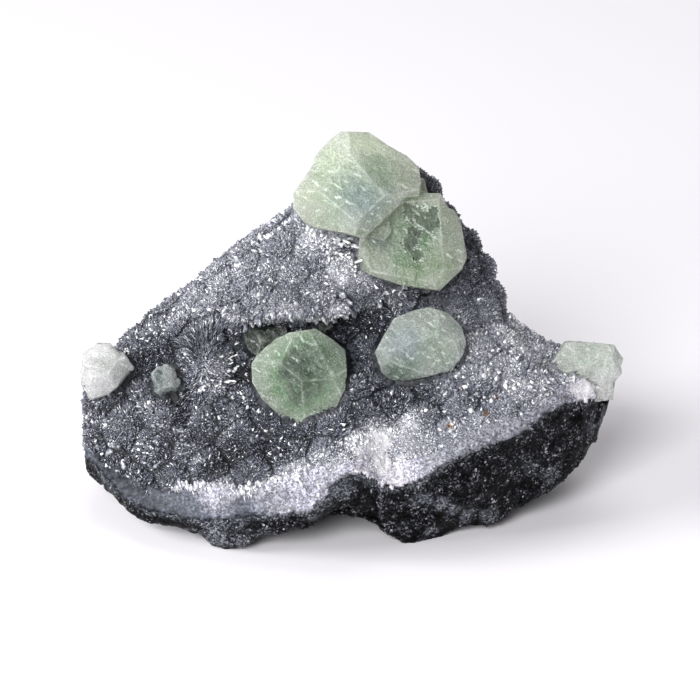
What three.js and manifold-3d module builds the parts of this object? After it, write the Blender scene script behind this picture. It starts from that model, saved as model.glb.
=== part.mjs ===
// Quartz with fluorite: a hand specimen of dark matrix rock, grown over with a crust of
// quartz points that carries green fluorite crystals.
//
// Millimetres, +Z up. The specimen stands on three worn feet at z = 0, its long side
// along X and its front towards -Y.

import * as THREE from "three";
import { mergeVertices } from "three/addons/utils/BufferGeometryUtils.js";
import Module from "manifold-3d";

const wasm = await Module();
wasm.setup();

// ---------------------------------------------------------------- driving dimensions

const STATIONS = 44; // cross-sections from the left end to the right tip
const SOCKET_GAP = 0.3; // clearance round a fluorite where it sits in the crust and rock
const BED_GAP = 0.55; // clearance between the rock and the crust that grew on it
const WARP_WIDTH = 10; // size of the broken hollows and swellings of the rock
const WARP_DEPTH = 1.7; // how far they push the surface
const REACH = 200; // larger than the specimen, for the block that trims the feet

// Thickness of the quartz crust along X, as [x, thickness].
const CRUST = [
  [-50, 2.2],
  [-37, 3.2],
  [-20, 4.6],
  [-2, 5.2],
  [12, 5.0],
  [25, 4.0],
  [40, 3.0],
  [50, 1.6],
];

// Lines that run the length of the specimen, from the left end to the right tip,
// as [x, y, z]. Listed in order round the cross-section.
const LINES = {
  // Lower front edge of the dark wall, with the two front feet at x = -21 and x = 16.
  frontFoot: [
    [-49.5, -7, 6],
    [-37, -18, 3],
    [-28, -22, 1.2],
    [-24, -23.4, -0.7],
    [-20, -24, -0.8],
    [-16, -24.5, 2.8],
    [-8, -25, 6.2],
    [0, -24, 6],
    [6, -21.5, 3.6],
    [13, -19, -0.7],
    [19, -18.6, -0.7],
    [26, -16.8, 1.6],
    [32, -13, 4],
    [42, -7.5, 7],
    [47, -2, 11.2],
    [49, 4.5, 17.4],
  ],
  // Where the quartz crust ends on the dark wall.
  frontContact: [
    [-50.5, -5, 10],
    [-45, -11, 8.5],
    [-37, -19, 6],
    [-28, -24, 6],
    [-20, -26, 8],
    [-11, -26, 10],
    [-6, -26, 11.5],
    [-2, -25.5, 16.5],
    [2, -25, 16.5],
    [7, -22.5, 12.7],
    [16, -22, 15.6],
    [23, -20, 18],
    [31, -15, 21],
    [39, -9, 23],
    [45, -3, 20],
    [49, 3, 17.8],
  ],
  // Upper edge of the broken white band along the front.
  rim: [
    [-51, -2, 11.5],
    [-45, -7, 10.5],
    [-37, -14, 9.5],
    [-28, -21, 11],
    [-20, -24, 13],
    [-11, -23, 15],
    [-2, -22, 19.5],
    [6, -16.5, 20],
    [15, -17.5, 19.7],
    [23, -16, 21.4],
    [31, -12, 23.5],
    [40, -5, 25],
    [50, 3.5, 21],
  ],
  // Middle of the lower terrace.
  terrace: [
    [-51, 1, 14.5],
    [-37, -7, 16.5],
    [-28, -10, 18],
    [-11, -13, 19.5],
    [-2, -12, 23.5],
    [7, -8, 23.2],
    [15, -9, 23.7],
    [23, -8, 25.2],
    [32, -4, 26.5],
    [40, 1, 26.4],
    [50, 5.5, 22.6],
  ],
  // Foot of the ledge, deepest behind the centre fluorite.
  ledgeFoot: [
    [-51, 4, 16.6],
    [-38, 3.5, 23],
    [-29, 3.5, 27.6],
    [-22, 4.5, 29.8],
    [-16, 7, 31],
    [-10, 7, 32],
    [-2, 7, 32.6],
    [7, 7.5, 34.6],
    [15, 9.5, 36.8],
    [24, 7, 33.5],
    [32, 5, 28.6],
    [41, 6, 26.2],
    [50, 7, 23],
  ],
  // Overhanging edge of the upper mass.
  brow: [
    [-51, 5.5, 17.2],
    [-38, 5, 27.4],
    [-29, 3, 34],
    [-20, 0, 36.7],
    [-11, -3, 37.6],
    [-2, -2, 38.6],
    [6, 3, 42.5],
    [15, 8.5, 44.3],
    [24, 9.5, 37],
    [32, 8, 28.3],
    [41, 8, 26],
    [50, 8.2, 23.1],
  ],
  // Middle of the upper slope.
  slope: [
    [-51, 6.8, 17.4],
    [-45, 8, 23],
    [-38, 9, 29.4],
    [-29, 10, 35.3],
    [-20, 9, 41.5],
    [-11, 8, 46.7],
    [-2, 7.5, 50],
    [7, 9, 53],
    [15, 13, 51.5],
    [24, 14, 41.5],
    [31, 11, 29],
    [41, 9.5, 25.8],
    [50, 9, 23.1],
  ],
  // Skyline, up to the summit and steeply down to the right arm.
  crest: [
    [-51, 8.5, 17.2],
    [-46, 11, 23.4],
    [-38, 14, 30],
    [-29, 16, 36.4],
    [-20, 17, 44.8],
    [-11, 18, 51.6],
    [-2, 18, 57],
    [7, 18, 59.4],
    [13, 19, 59],
    [17, 19, 54.6],
    [24, 18, 43.6],
    [27.4, 17, 37.6],
    [30.2, 15.6, 30],
    [34, 13.5, 27.4],
    [41, 11, 25],
    [50, 10, 22.7],
  ],
  // Where the crust ends on the back.
  backContact: [
    [-49.5, 11.5, 15.5],
    [-46, 15, 20.5],
    [-38, 19, 26.5],
    [-29, 21.5, 33],
    [-20, 22.5, 41],
    [-11, 23.5, 47],
    [-2, 24, 52],
    [7, 24, 54.5],
    [13, 24.5, 54],
    [17, 24, 50],
    [24, 22.5, 38.6],
    [27.4, 21.4, 33],
    [30.6, 19.6, 26.6],
    [34, 17.5, 24.8],
    [41, 14, 22.6],
    [49.5, 12, 20.8],
  ],
  // Broken back, at half its height.
  backFace: [
    [-47, 15, 11.5],
    [-40, 24, 17],
    [-33, 25.4, 19],
    [-26, 29, 23],
    [-18, 28.4, 27],
    [-8, 31.6, 30],
    [2, 29.8, 32],
    [10, 31, 30.5],
    [18, 27.4, 25],
    [26, 26, 20],
    [34, 20.5, 17.5],
    [42, 16, 18],
    [49, 12, 19],
  ],
  // Lower back edge, with the broad back foot from x = -20 to x = 8.
  backFoot: [
    [-45, 13, 7],
    [-38, 23, 3],
    [-31, 26.4, 2.2],
    [-24, 30.6, 0.8],
    [-14, 31.4, -0.9],
    [-4, 33.6, -0.9],
    [6, 32, -0.9],
    [14, 31.4, -0.5],
    [22, 27.4, 1.2],
    [28, 26, 2.4],
    [34, 20, 6],
    [42, 14.5, 13],
    [48.5, 10.5, 17.5],
  ],
  undersideBack: [
    [-44, 8, 6],
    [-28, 16, 3.5],
    [-14, 19, 2.2],
    [0, 19, 2],
    [12, 18, 2.4],
    [24, 15, 3.6],
    [34, 12, 6.5],
    [42, 10, 12.5],
    [48.5, 9, 17.2],
  ],
  undersideFront: [
    [-46, 0, 5.5],
    [-28, -9, 2.4],
    [-21, -14, -0.7],
    [-12, -10, 3.2],
    [0, -8, 4.6],
    [8, -10, 3.2],
    [15, -12, 0.2],
    [24, -8, 2],
    [34, -3, 4.5],
    [42, 3.5, 11.8],
    [48.5, 6.5, 17.2],
  ],
};

// The crust runs over these lines, as [share, points]: the share of its full thickness
// that it has there, and how far its quartz points stand out of it. The crust's skin lies
// at their tips. Both are 0 at the contacts, where the crust ends.
const CRUSTED = {
  frontContact: [0, 0],
  rim: [1, 0.6],
  terrace: [1, 1.2],
  ledgeFoot: [0.9, 0.8],
  brow: [0.9, 1.4],
  slope: [0.8, 1.8],
  crest: [0.6, 1.8],
  backContact: [0, 0],
};

// Bare rock runs over these.
const BARE = [
  "backContact",
  "backFace",
  "backFoot",
  "undersideBack",
  "undersideFront",
  "frontFoot",
  "frontContact",
];
const CRUSTED_STEPS = 3; // columns between two crusted lines
const BARE_STEPS = 2; // columns between two bare lines

// Rosettes of quartz that stand proud of the terrace, as [x, y, radius, rise].
const ROSETTES = [
  [-26, -3, 6, 4],
  [-34, -8, 5, 2.6],
  [-39, -2, 5, 2.4],
  [-28, -12, 5, 2.8],
  [-20, -13, 5, 2.4],
  [-4, 2, 4, 2.2],
  [1, -12, 6, 1.6],
  [12, -13, 5, 2],
  [24, -6, 5, 2.2],
  [33, -3, 4, 1.8],
];

// Fluorite crystals. They have grown towards the front, FRONT_TILT above level. Each block
// gives its middle; its outline, clockwise as [right, up] from the middle; and the faces
// that close it in front, and alike behind. A face is [towards, lean, out]: it leans by
// lean degrees towards a side, in degrees from the right, and lies at out from the middle.
// A crystal of more than one block is an intergrowth.
const FRONT_TILT = 24;
const FLUORITES = {
  fluorite_summit: [
    {
      at: [1.1, 7.5, 59.7],
      outline: [
        [-4.8, 8.3],
        [-2.8, 9.7],
        [2.4, 9.7],
        [5.9, 7.3],
        [9.5, 5.4],
        [11.6, 3.3],
        [12, 0.7],
        [11.7, -2],
        [9.1, -2.3],
        [6.7, -5],
        [1.5, -9.8],
        [-2.3, -8.8],
        [-7.2, -7.9],
        [-9.6, -6.7],
        [-11.6, -4.3],
        [-11.6, -1.7],
        [-8.3, 3],
        [-7.4, 5.5],
      ],
      faces: [
        [0, 0, 8],
        [41, 32, 8.2],
        [-46, 45, 9.3],
        [230, 35, 9.6],
        [141, 30, 9.1],
      ],
    },
    {
      at: [11.8, 8.6, 47.4],
      outline: [
        [-6.6, 5.6],
        [-3.2, 8.3],
        [0.2, 9.4],
        [5, 9.5],
        [6.4, 6.8],
        [7.5, 6.4],
        [8.7, 4.5],
        [10, -2.3],
        [9, -4.6],
        [4.9, -8.5],
        [-2.1, -7.6],
        [-7.7, -5.8],
        [-9.9, -4.7],
        [-10.4, -2.6],
        [-9.8, 3],
      ],
      faces: [
        [0, 0, 7.2],
        [5, 28, 8.8],
        [-40, 40, 10.3],
        [-100, 40, 9.6],
        [205, 40, 11.5],
        [95, 30, 10.2],
      ],
    },
    {
      at: [11.8, 8.6, 47.4],
      outline: [
        [-7.3, 7.1],
        [-5.1, 7],
        [-4.1, 2.3],
        [-5.3, 0.5],
        [-9.3, 1.4],
        [-9.7, 2.8],
      ],
      faces: [[150, 10, 9.4]],
    },
    {
      at: [13.6, 11.5, 57.9],
      outline: [
        [-3, 2.2],
        [0.2, 1.5],
        [0.9, -1.4],
        [-3, -1.9],
      ],
      faces: [[0, 0, 3]],
    },
  ],
  fluorite_centre: [
    {
      at: [-9.3, -6, 26.8],
      outline: [
        [-8.9, 2.6],
        [-7.9, 4.3],
        [-4.4, 7.2],
        [-1.9, 8.4],
        [3, 9.1],
        [6.4, 6.9],
        [8.4, 5.1],
        [8.7, 2.2],
        [8.4, -2],
        [6.6, -5.8],
        [4.3, -8.2],
        [-0.7, -9.4],
        [-3.5, -7.2],
        [-7.1, -3.8],
        [-8.8, -0.7],
      ],
      faces: [
        [214, 37, 6.4],
        [98, 15, 7.6],
        [-90, 20, 7.7],
        [137, 36, 8.3],
        [0, 37, 10.3],
        [50, 35, 9.1],
        [-80, 45, 9],
      ],
    },
  ],
  fluorite_shaded: [
    {
      at: [-16.2, 4.9, 30.3],
      outline: [
        [-4.1, 0.9],
        [-3.6, 2.6],
        [-1.3, 3.8],
        [1.5, 4],
        [3.6, 3],
        [4.5, 0.9],
        [2.1, -3],
        [-0.6, -3.8],
        [-2.8, -2.8],
      ],
      faces: [
        [60, 20, 3],
        [200, 30, 3.4],
        [-60, 35, 3.4],
      ],
    },
  ],
  fluorite_under_ledge: [
    {
      at: [-4.5, 4.9, 32.2],
      outline: [
        [-1.5, 0.6],
        [-0.2, 1.3],
        [1.2, 0.8],
        [1.5, -0.8],
        [0.2, -1.4],
        [-1.2, -0.9],
      ],
      faces: [
        [90, 15, 1.5],
        [-60, 35, 1.6],
      ],
    },
  ],
  fluorite_right: [
    {
      at: [13.2, -2, 31.9],
      outline: [
        [-8.6, -1.5],
        [-6.5, 2.3],
        [-5, 4.8],
        [-1.9, 6.1],
        [1.4, 6.9],
        [4.8, 5.9],
        [7.4, 3.4],
        [8.4, 0.2],
        [7.8, -1.9],
        [5.8, -4.8],
        [2.8, -5.6],
        [-2.4, -6.8],
        [-5.8, -6.7],
        [-7.4, -5.1],
      ],
      faces: [
        [102, 29, 5.5],
        [-60, 19, 5.3],
        [45, 38, 6.6],
        [-5, 40, 7.5],
        [215, 40, 8.7],
        [-95, 45, 6.6],
      ],
    },
  ],
  fluorite_left_edge: [
    {
      at: [-45.7, 2, 24.8],
      outline: [
        [-4.5, 2.4],
        [-4.3, 3.4],
        [-2.7, 4.2],
        [-1.9, 5.1],
        [0.6, 4.9],
        [1.7, 3.7],
        [3.2, 3],
        [4.9, 0.4],
        [1.7, -3.5],
        [0, -4.7],
        [-3.6, -5.6],
        [-4.7, -2.1],
      ],
      faces: [
        [120, 22, 4],
        [-15, 34, 4.3],
        [-100, 38, 4.4],
        [60, 48, 4.9],
        [200, 50, 4.9],
      ],
    },
  ],
  fluorite_little: [
    {
      at: [-34.7, -1, 23.9],
      outline: [
        [-2.4, 0.9],
        [-1.3, 2.7],
        [0.6, 3],
        [1.9, 2.1],
        [2.6, 0],
        [2.6, -1.7],
        [1.3, -2.7],
        [-0.7, -2.8],
        [-2.2, -1.3],
      ],
      faces: [
        [100, 12, 2.3],
        [20, 40, 2.7],
        [200, 40, 2.7],
        [-80, 40, 2.7],
      ],
    },
  ],
  fluorite_right_tip: [
    {
      at: [44.6, 2.5, 24.6],
      outline: [
        [-6.4, 1.5],
        [-4.1, 5.3],
        [-1, 5.4],
        [4.7, 4.6],
        [6.6, 2.1],
        [6.2, 1.1],
        [6.4, -0.4],
        [5.3, -1.9],
        [4.8, -5.7],
        [0, -6.1],
        [-2.5, -2.8],
        [-4.7, -0.8],
      ],
      faces: [
        [105, 34, 4.4],
        [-70, 22, 4],
        [10, 46, 6.4],
      ],
    },
  ],
};

const MATERIALS = {
  matrix: new THREE.MeshStandardMaterial({ color: 0x3a3c42, roughness: 0.85, metalness: 0 }),
  quartz: new THREE.MeshStandardMaterial({ color: 0xa9adbd, roughness: 0.3, metalness: 0 }),
  fluorite: new THREE.MeshStandardMaterial({ color: 0x9cc9a6, roughness: 0.15, metalness: 0 }),
};

// ---------------------------------------------------------------- joining and cutting

function solidOf(geometry) {
  const bare = geometry.clone();
  bare.deleteAttribute("normal");
  bare.deleteAttribute("uv");
  const merged = mergeVertices(bare, 1e-4);
  const mesh = new wasm.Mesh({
    numProp: 3,
    vertProperties: new Float32Array(merged.attributes.position.array),
    triVerts: new Uint32Array(merged.index.array),
  });
  return new wasm.Manifold(mesh);
}

function geometryOf(solid) {
  const mesh = solid.getMesh();
  const geometry = new THREE.BufferGeometry();
  geometry.setAttribute("position", new THREE.BufferAttribute(mesh.vertProperties, 3));
  geometry.setIndex(new THREE.BufferAttribute(mesh.triVerts, 1));
  return geometry;
}

// ---------------------------------------------------------------- broken relief

function lattice(i, j, k) {
  const value = Math.sin(i * 127.1 + j * 311.7 + k * 74.7) * 43758.5453;
  return value - Math.floor(value);
}

// Smooth noise from -1 to 1, one swelling to each unit of length.
function noise(x, y, z) {
  const [i, j, k] = [Math.floor(x), Math.floor(y), Math.floor(z)];
  const ease = (t) => t * t * (3 - 2 * t);
  const [u, v, w] = [ease(x - i), ease(y - j), ease(z - k)];
  const along = (dj, dk) =>
    THREE.MathUtils.lerp(lattice(i, j + dj, k + dk), lattice(i + 1, j + dj, k + dk), u);
  const across = (dk) => THREE.MathUtils.lerp(along(0, dk), along(1, dk), v);
  return 2 * THREE.MathUtils.lerp(across(0), across(1), w) - 1;
}

// Pushes a point of the rock sideways by the same broken relief wherever it lies, so
// that rock and crust bend together and keep their clearance.
function warp(point) {
  const [x, y, z] = point.toArray().map((value) => value / WARP_WIDTH);
  const push = new THREE.Vector3(
    0.5 * noise(x + 17, y, z),
    noise(x, y + 31, z),
    noise(x, y, z + 53),
  );
  return point.addScaledVector(push, WARP_DEPTH);
}

// How far the rosettes lift the crust at a point.
function rosetteRise(x, y) {
  return ROSETTES.reduce((rise, [cx, cy, radius, height]) => {
    const away = Math.hypot(x - cx, y - cy) / radius;
    return rise + height * Math.max(0, 1 - away * away) ** 2;
  }, 0);
}

// ---------------------------------------------------------------- sections

// Value of a smooth line through [x, value] knots.
function smoothAt(knots, x) {
  const last = knots.length - 1;
  let span = 0;
  while (span < last - 1 && x > knots[span + 1][0]) span += 1;
  const knot = (i) => knots[THREE.MathUtils.clamp(i, 0, last)];
  const slope = (i) => {
    const [before, after] = [knot(i - 1), knot(i + 1)];
    return (after[1] - before[1]) / (after[0] - before[0]);
  };
  const [x0, y0] = knot(span);
  const [x1, y1] = knot(span + 1);
  const width = x1 - x0;
  const t = THREE.MathUtils.clamp((x - x0) / width, 0, 1);
  const bend = (y1 - y0) * t * t * (3 - 2 * t);
  const lean = width * (slope(span) * t * (1 - t) ** 2 - slope(span + 1) * t * t * (1 - t));
  return y0 + bend + lean;
}

// Point of a named line, a share of the way from the left end to the right tip.
function lineAt(name, share) {
  const line = LINES[name];
  const x = THREE.MathUtils.lerp(line[0][0], line.at(-1)[0], share);
  const y = smoothAt(line.map((p) => [p[0], p[1]]), x);
  const z = smoothAt(line.map((p) => [p[0], p[2]]), x);
  return new THREE.Vector3(x, y, z);
}

// The crusted lines' points at one station, each pushed into the rock, square to the
// section, by depthOf its share and points.
function pushedIn(line, depthOf) {
  const crusted = Object.values(CRUSTED);
  return line.map((point, i) => {
    const [share, points] = crusted[i];
    if (share === 0) return point.clone();
    const along = line[i + 1].clone().sub(line[i - 1]);
    const inward = new THREE.Vector3(0, along.z, -along.y).normalize();
    return point.clone().addScaledVector(inward, depthOf(share, points));
  });
}

// The bed that the crust lies on at one station, lowered by a clearance.
function bedUnder(line, clearance) {
  const thickness = smoothAt(CRUST, line[0].x);
  return pushedIn(line, (share) => share * thickness + clearance);
}

// A smooth chain through points, with a fixed number of steps to each span.
function chain(points, steps) {
  const curve = new THREE.CatmullRomCurve3(points, false, "centripetal");
  return curve.getPoints((points.length - 1) * steps);
}

// A closed solid through rings of equal length, with its two ends filled in.
function loft(rings) {
  const around = rings[0].length;
  const triangles = [];
  for (let i = 0; i + 1 < rings.length; i++) {
    for (let j = 0; j < around; j++) {
      const [a, b] = [i * around + j, i * around + ((j + 1) % around)];
      triangles.push(a, b + around, b, a, a + around, b + around);
    }
  }
  const end = (ring, offset, facing) => {
    const outline = ring.map((p) => new THREE.Vector2(p.y, p.z));
    for (const [a, b, c] of THREE.ShapeUtils.triangulateShape(outline, [])) {
      if (facing > 0) triangles.push(offset + a, offset + c, offset + b);
      else triangles.push(offset + a, offset + b, offset + c);
    }
  };
  end(rings[0], 0, 1);
  end(rings.at(-1), (rings.length - 1) * around, -1);
  const geometry = new THREE.BufferGeometry().setFromPoints(rings.flat().map(warp));
  geometry.setIndex(triangles);
  return geometry;
}

// The ring of the bare rock at one station: the surface that the crust grew on, then the
// walls and the underside.
function matrixRing(share) {
  const bare = BARE.map((name) => lineAt(name, share));
  const crusted = Object.keys(CRUSTED).map((name) => lineAt(name, share));
  const below = (contact, next) =>
    contact.clone().addScaledVector(next.clone().sub(contact).normalize(), BED_GAP);
  bare[0] = below(bare[0], bare[1]);
  bare[bare.length - 1] = below(bare.at(-1), bare.at(-2));
  crusted[0] = bare.at(-1).clone();
  crusted[crusted.length - 1] = bare[0].clone();
  const bed = chain(bedUnder(crusted, BED_GAP), CRUSTED_STEPS);
  const walls = chain(bare, BARE_STEPS);
  return [...bed.slice(0, -1), ...walls.slice(0, -1)];
}

// The ring of the quartz crust at one station: its outer skin and the bed it lies on.
function crustRing(share) {
  const line = Object.keys(CRUSTED).map((name) => lineAt(name, share));
  const skin = chain(pushedIn(line, (_, points) => -points), CRUSTED_STEPS);
  const bed = chain(bedUnder(line, 0), CRUSTED_STEPS);
  for (const point of skin.slice(1, -1)) point.z += rosetteRise(point.x, point.y);
  return [...skin, ...bed.slice(1, -1).reverse()];
}

function sweep(ring) {
  const shares = Array.from({ length: STATIONS + 1 }, (_, i) => i / STATIONS);
  return loft(shares.map(ring));
}

// ---------------------------------------------------------------- fluorite crystals

// An outline whose sides are all moved out by a margin.
function widened(outline, margin) {
  const count = outline.length;
  const corner = (i) => new THREE.Vector2(...outline[(i + count) % count]);
  const outwards = (i) => {
    const side = corner(i + 1).sub(corner(i)).normalize();
    return new THREE.Vector2(-side.y, side.x);
  };
  return outline.map((_, i) => {
    const [before, after] = [outwards(i - 1), outwards(i)];
    const share = margin / (1 + before.dot(after));
    return corner(i).add(before.add(after).multiplyScalar(share));
  });
}

// Everything on the inner side of a face, or of its twin behind the crystal.
function inside([towards, lean, out], margin, side) {
  const [around, away] = [towards, lean].map(THREE.MathUtils.degToRad);
  const outwards = new THREE.Vector3(
    Math.sin(away) * Math.cos(around),
    Math.sin(away) * Math.sin(around),
    side * Math.cos(away),
  );
  const turn = new THREE.Quaternion().setFromUnitVectors(new THREE.Vector3(0, 0, 1), outwards);
  const room = new THREE.BoxGeometry(REACH, REACH, REACH);
  return solidOf(room.translate(0, 0, out + margin - REACH / 2).applyQuaternion(turn));
}

// One crystal block, grown by a margin all round.
function crystalBlock({ at, outline, faces }, margin) {
  const depth = 2 * (Math.max(...faces.map((face) => face[2])) + margin);
  const shape = new THREE.Shape(widened(outline, margin));
  const prism = new THREE.ExtrudeGeometry(shape, { depth, bevelEnabled: false });
  let block = solidOf(prism.translate(0, 0, -depth / 2));
  for (const face of faces) {
    block = block.intersect(inside(face, margin, 1)).intersect(inside(face, margin, -1));
  }
  const place = new THREE.Matrix4().makeRotationX(THREE.MathUtils.degToRad(90 - FRONT_TILT));
  place.setPosition(...at);
  return solidOf(geometryOf(block).applyMatrix4(place));
}

function crystal(blocks, margin = 0) {
  return blocks
    .map((block) => crystalBlock(block, margin))
    .reduce((whole, block) => whole.add(block));
}

// ---------------------------------------------------------------- the specimen

const specimen = new THREE.Group();

// The largest body of a solid, without the crumbs that a socket cuts loose.
function mainBody(solid) {
  return solid.decompose().reduce((best, body) => (body.volume() > best.volume() ? body : best));
}

function addPiece(name, solid, material) {
  const mesh = new THREE.Mesh(geometryOf(solid), material);
  mesh.name = name;
  specimen.add(mesh);
}

const aboveTable = solidOf(
  new THREE.BoxGeometry(REACH, REACH, REACH).translate(0, 0, REACH / 2),
);
let matrix = solidOf(sweep(matrixRing)).intersect(aboveTable);
let crust = solidOf(sweep(crustRing));
for (const blocks of Object.values(FLUORITES)) {
  const socket = crystal(blocks, SOCKET_GAP);
  matrix = matrix.subtract(socket);
  crust = crust.subtract(socket);
}
addPiece("matrix", mainBody(matrix), MATERIALS.matrix);
addPiece("quartz_druse", mainBody(crust), MATERIALS.quartz);
for (const [name, blocks] of Object.entries(FLUORITES)) {
  addPiece(name, crystal(blocks), MATERIALS.fluorite);
}

// The origin lies on the table, below the middle of the specimen.
const middle = new THREE.Box3().setFromObject(specimen).getCenter(new THREE.Vector3());
specimen.position.set(-middle.x, -middle.y, 0);

export default specimen;
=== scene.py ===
# Looks of a hand specimen of quartz with fluorite: dark matrix rock, a crust of milky
# quartz, thousands of clear quartz points, and pale green fluorite crystals.

import math

import bmesh
import bpy
import numpy as np
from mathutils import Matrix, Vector, noise
from mathutils.bvhtree import BVHTree
from mathutils.kdtree import KDTree


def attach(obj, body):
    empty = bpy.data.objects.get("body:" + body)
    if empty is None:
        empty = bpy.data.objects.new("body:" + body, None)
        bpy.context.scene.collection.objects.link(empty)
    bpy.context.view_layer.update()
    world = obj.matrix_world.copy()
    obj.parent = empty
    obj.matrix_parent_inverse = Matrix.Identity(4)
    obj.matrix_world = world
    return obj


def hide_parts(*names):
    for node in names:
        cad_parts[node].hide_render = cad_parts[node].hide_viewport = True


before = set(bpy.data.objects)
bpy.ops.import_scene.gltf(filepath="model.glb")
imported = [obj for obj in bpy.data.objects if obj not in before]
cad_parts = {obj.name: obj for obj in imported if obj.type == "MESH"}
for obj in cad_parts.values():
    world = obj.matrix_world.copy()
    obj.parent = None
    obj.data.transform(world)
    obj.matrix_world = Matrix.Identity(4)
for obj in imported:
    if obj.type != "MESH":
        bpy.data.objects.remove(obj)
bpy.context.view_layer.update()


# ---------------------------------------------------------------- studio
# The specimen stands on a white sweep of matt card. One soft box hangs to its left, one in
# front, and a wide one behind lights the card; white walls fill the shadows a little.

MM = 0.001
SIGHT_AIM = Vector((0.02, -4.21, 29.8)) * MM
SIGHT_ELEVATION = math.radians(24)
SIGHT_DISTANCE = 600 * MM
LENS = 165
CARD_SIDE = 6.0  # metres
WALL_GLOW = 0.16  # how strongly the white walls light the specimen

# Soft boxes: place and what it is aimed at in metres, side in metres, power in watts.
SOFT_BOXES = {
    "soft_box_front": ((-0.36, -0.89, 0.56), (0, 0, 0.03), 0.55, 14.0),
    "soft_box_left": ((-0.98, -0.08, 0.50), (0, 0, 0.03), 0.6, 11.0),
    "soft_box_back": ((0.10, 0.80, 1.05), (0.05, 0.30, 0), 0.9, 6.5),
}

scene = bpy.context.scene


def linear(hex_colour):
    """An sRGB hex colour as linear red, green, blue and alpha."""
    channels = [int(hex_colour[i : i + 2], 16) / 255 for i in (0, 2, 4)]
    return [c / 12.92 if c <= 0.04045 else ((c + 0.055) / 1.055) ** 2.4 for c in channels] + [1]


def add_node(tree, kind, inputs=None, settings=None, stops=()):
    """Adds a shader node with its settings, its links and its colour ramp's stops.

    An input is a plain value, another node's output, or a node, which is linked by its
    first output. A mix of colours takes its share as input 0 and its colours as inputs 6
    and 7, and gives its result as output 2.
    """
    made = tree.nodes.new("ShaderNode" + kind)
    for name, value in (settings or {}).items():
        setattr(made, name, value)
    for name, value in (inputs or {}).items():
        if isinstance(value, bpy.types.Node):
            value = value.outputs[0]
        if isinstance(value, bpy.types.NodeSocket):
            tree.links.new(value, made.inputs[name])
        else:
            made.inputs[name].default_value = value
    if stops:
        elements = made.color_ramp.elements
        while len(elements) < len(stops):
            elements.new(0.5)
        for element, (position, colour) in zip(elements, stops):
            element.position = position
            element.color = linear(colour)
    return made


def new_material(name):
    """An empty material and its tree."""
    material = bpy.data.materials.new(name)
    material.use_nodes = True
    material.node_tree.nodes.clear()
    return material, material.node_tree


def aim(thing, target):
    """Turns a camera or a lamp to look at a point."""
    thing.rotation_euler = (target - thing.location).to_track_quat("-Z", "Y").to_euler()


camera = bpy.data.objects.new("camera", bpy.data.cameras.new("camera"))
camera.data.lens = LENS
camera.data.sensor_width = 36
camera.data.clip_start = 10 * MM
back = Vector((0, -math.cos(SIGHT_ELEVATION), math.sin(SIGHT_ELEVATION)))
camera.location = SIGHT_AIM + SIGHT_DISTANCE * back
aim(camera, SIGHT_AIM)
scene.collection.objects.link(camera)
scene.camera = camera

for name, (place, target, side, power) in SOFT_BOXES.items():
    lamp = bpy.data.lights.new(name, "AREA")
    lamp.shape = "SQUARE"
    lamp.size = side
    lamp.energy = power
    hung = bpy.data.objects.new(name, lamp)
    hung.location = place
    aim(hung, Vector(target))
    scene.collection.objects.link(hung)

world = bpy.data.worlds.new("white_card_all_round")
world.use_nodes = True
world.node_tree.nodes["Background"].inputs["Color"].default_value = linear("f6f3f7")
world.node_tree.nodes["Background"].inputs["Strength"].default_value = WALL_GLOW
scene.world = world
scene.view_settings.view_transform = "Standard"

sheet = bmesh.new()
bmesh.ops.create_grid(sheet, x_segments=1, y_segments=1, size=CARD_SIDE / 2)
floor = bpy.data.objects.new("floor", bpy.data.meshes.new("floor"))
sheet.to_mesh(floor.data)
sheet.free()
scene.collection.objects.link(floor)

# Matt white card: an even diffuse surface with a faint sheen at low angles.
card, tree = new_material("matt_white_card")
surface = add_node(
    tree,
    "BsdfPrincipled",
    {"Base Color": linear("f1eff3"), "Roughness": 0.6, "Specular IOR Level": 0.3},
)
add_node(tree, "OutputMaterial", {"Surface": surface})
floor.data.materials.append(card)


# ---------------------------------------------------------------- matrix rock
# The host rock: one broken block of dark, fine-grained, quartz-veined rock. Its front
# wall and back are fresh breaks, angular and granular, and it stands on three worn feet.

ROCK_SPACING = 0.5 * MM  # of the vertices of the remodelled surface
CHIPS = [(9 * MM, 0.08), (3.2 * MM, 0.10), (1.3 * MM, 0.06)]  # chip size, how steeply it lies
GRIT_SIZE = 0.8 * MM
GRIT_RELIEF = 0.07 * MM
CRACK_X = 5.6 * MM  # the wall steps back to the left of an upright crack here
CRACK_STEP = 1.2 * MM
CRACK_WIDTH = 0.6 * MM
CLOSE_GAP = 0.95 * MM  # pieces nearer than this touch in the real specimen
RELIEF_SEED = 41  # without a seed the noise vectors of the chips follow the clock
FOOT_HEIGHT = 1.6 * MM  # the relief fades out below this, so that the feet stay flat

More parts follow.
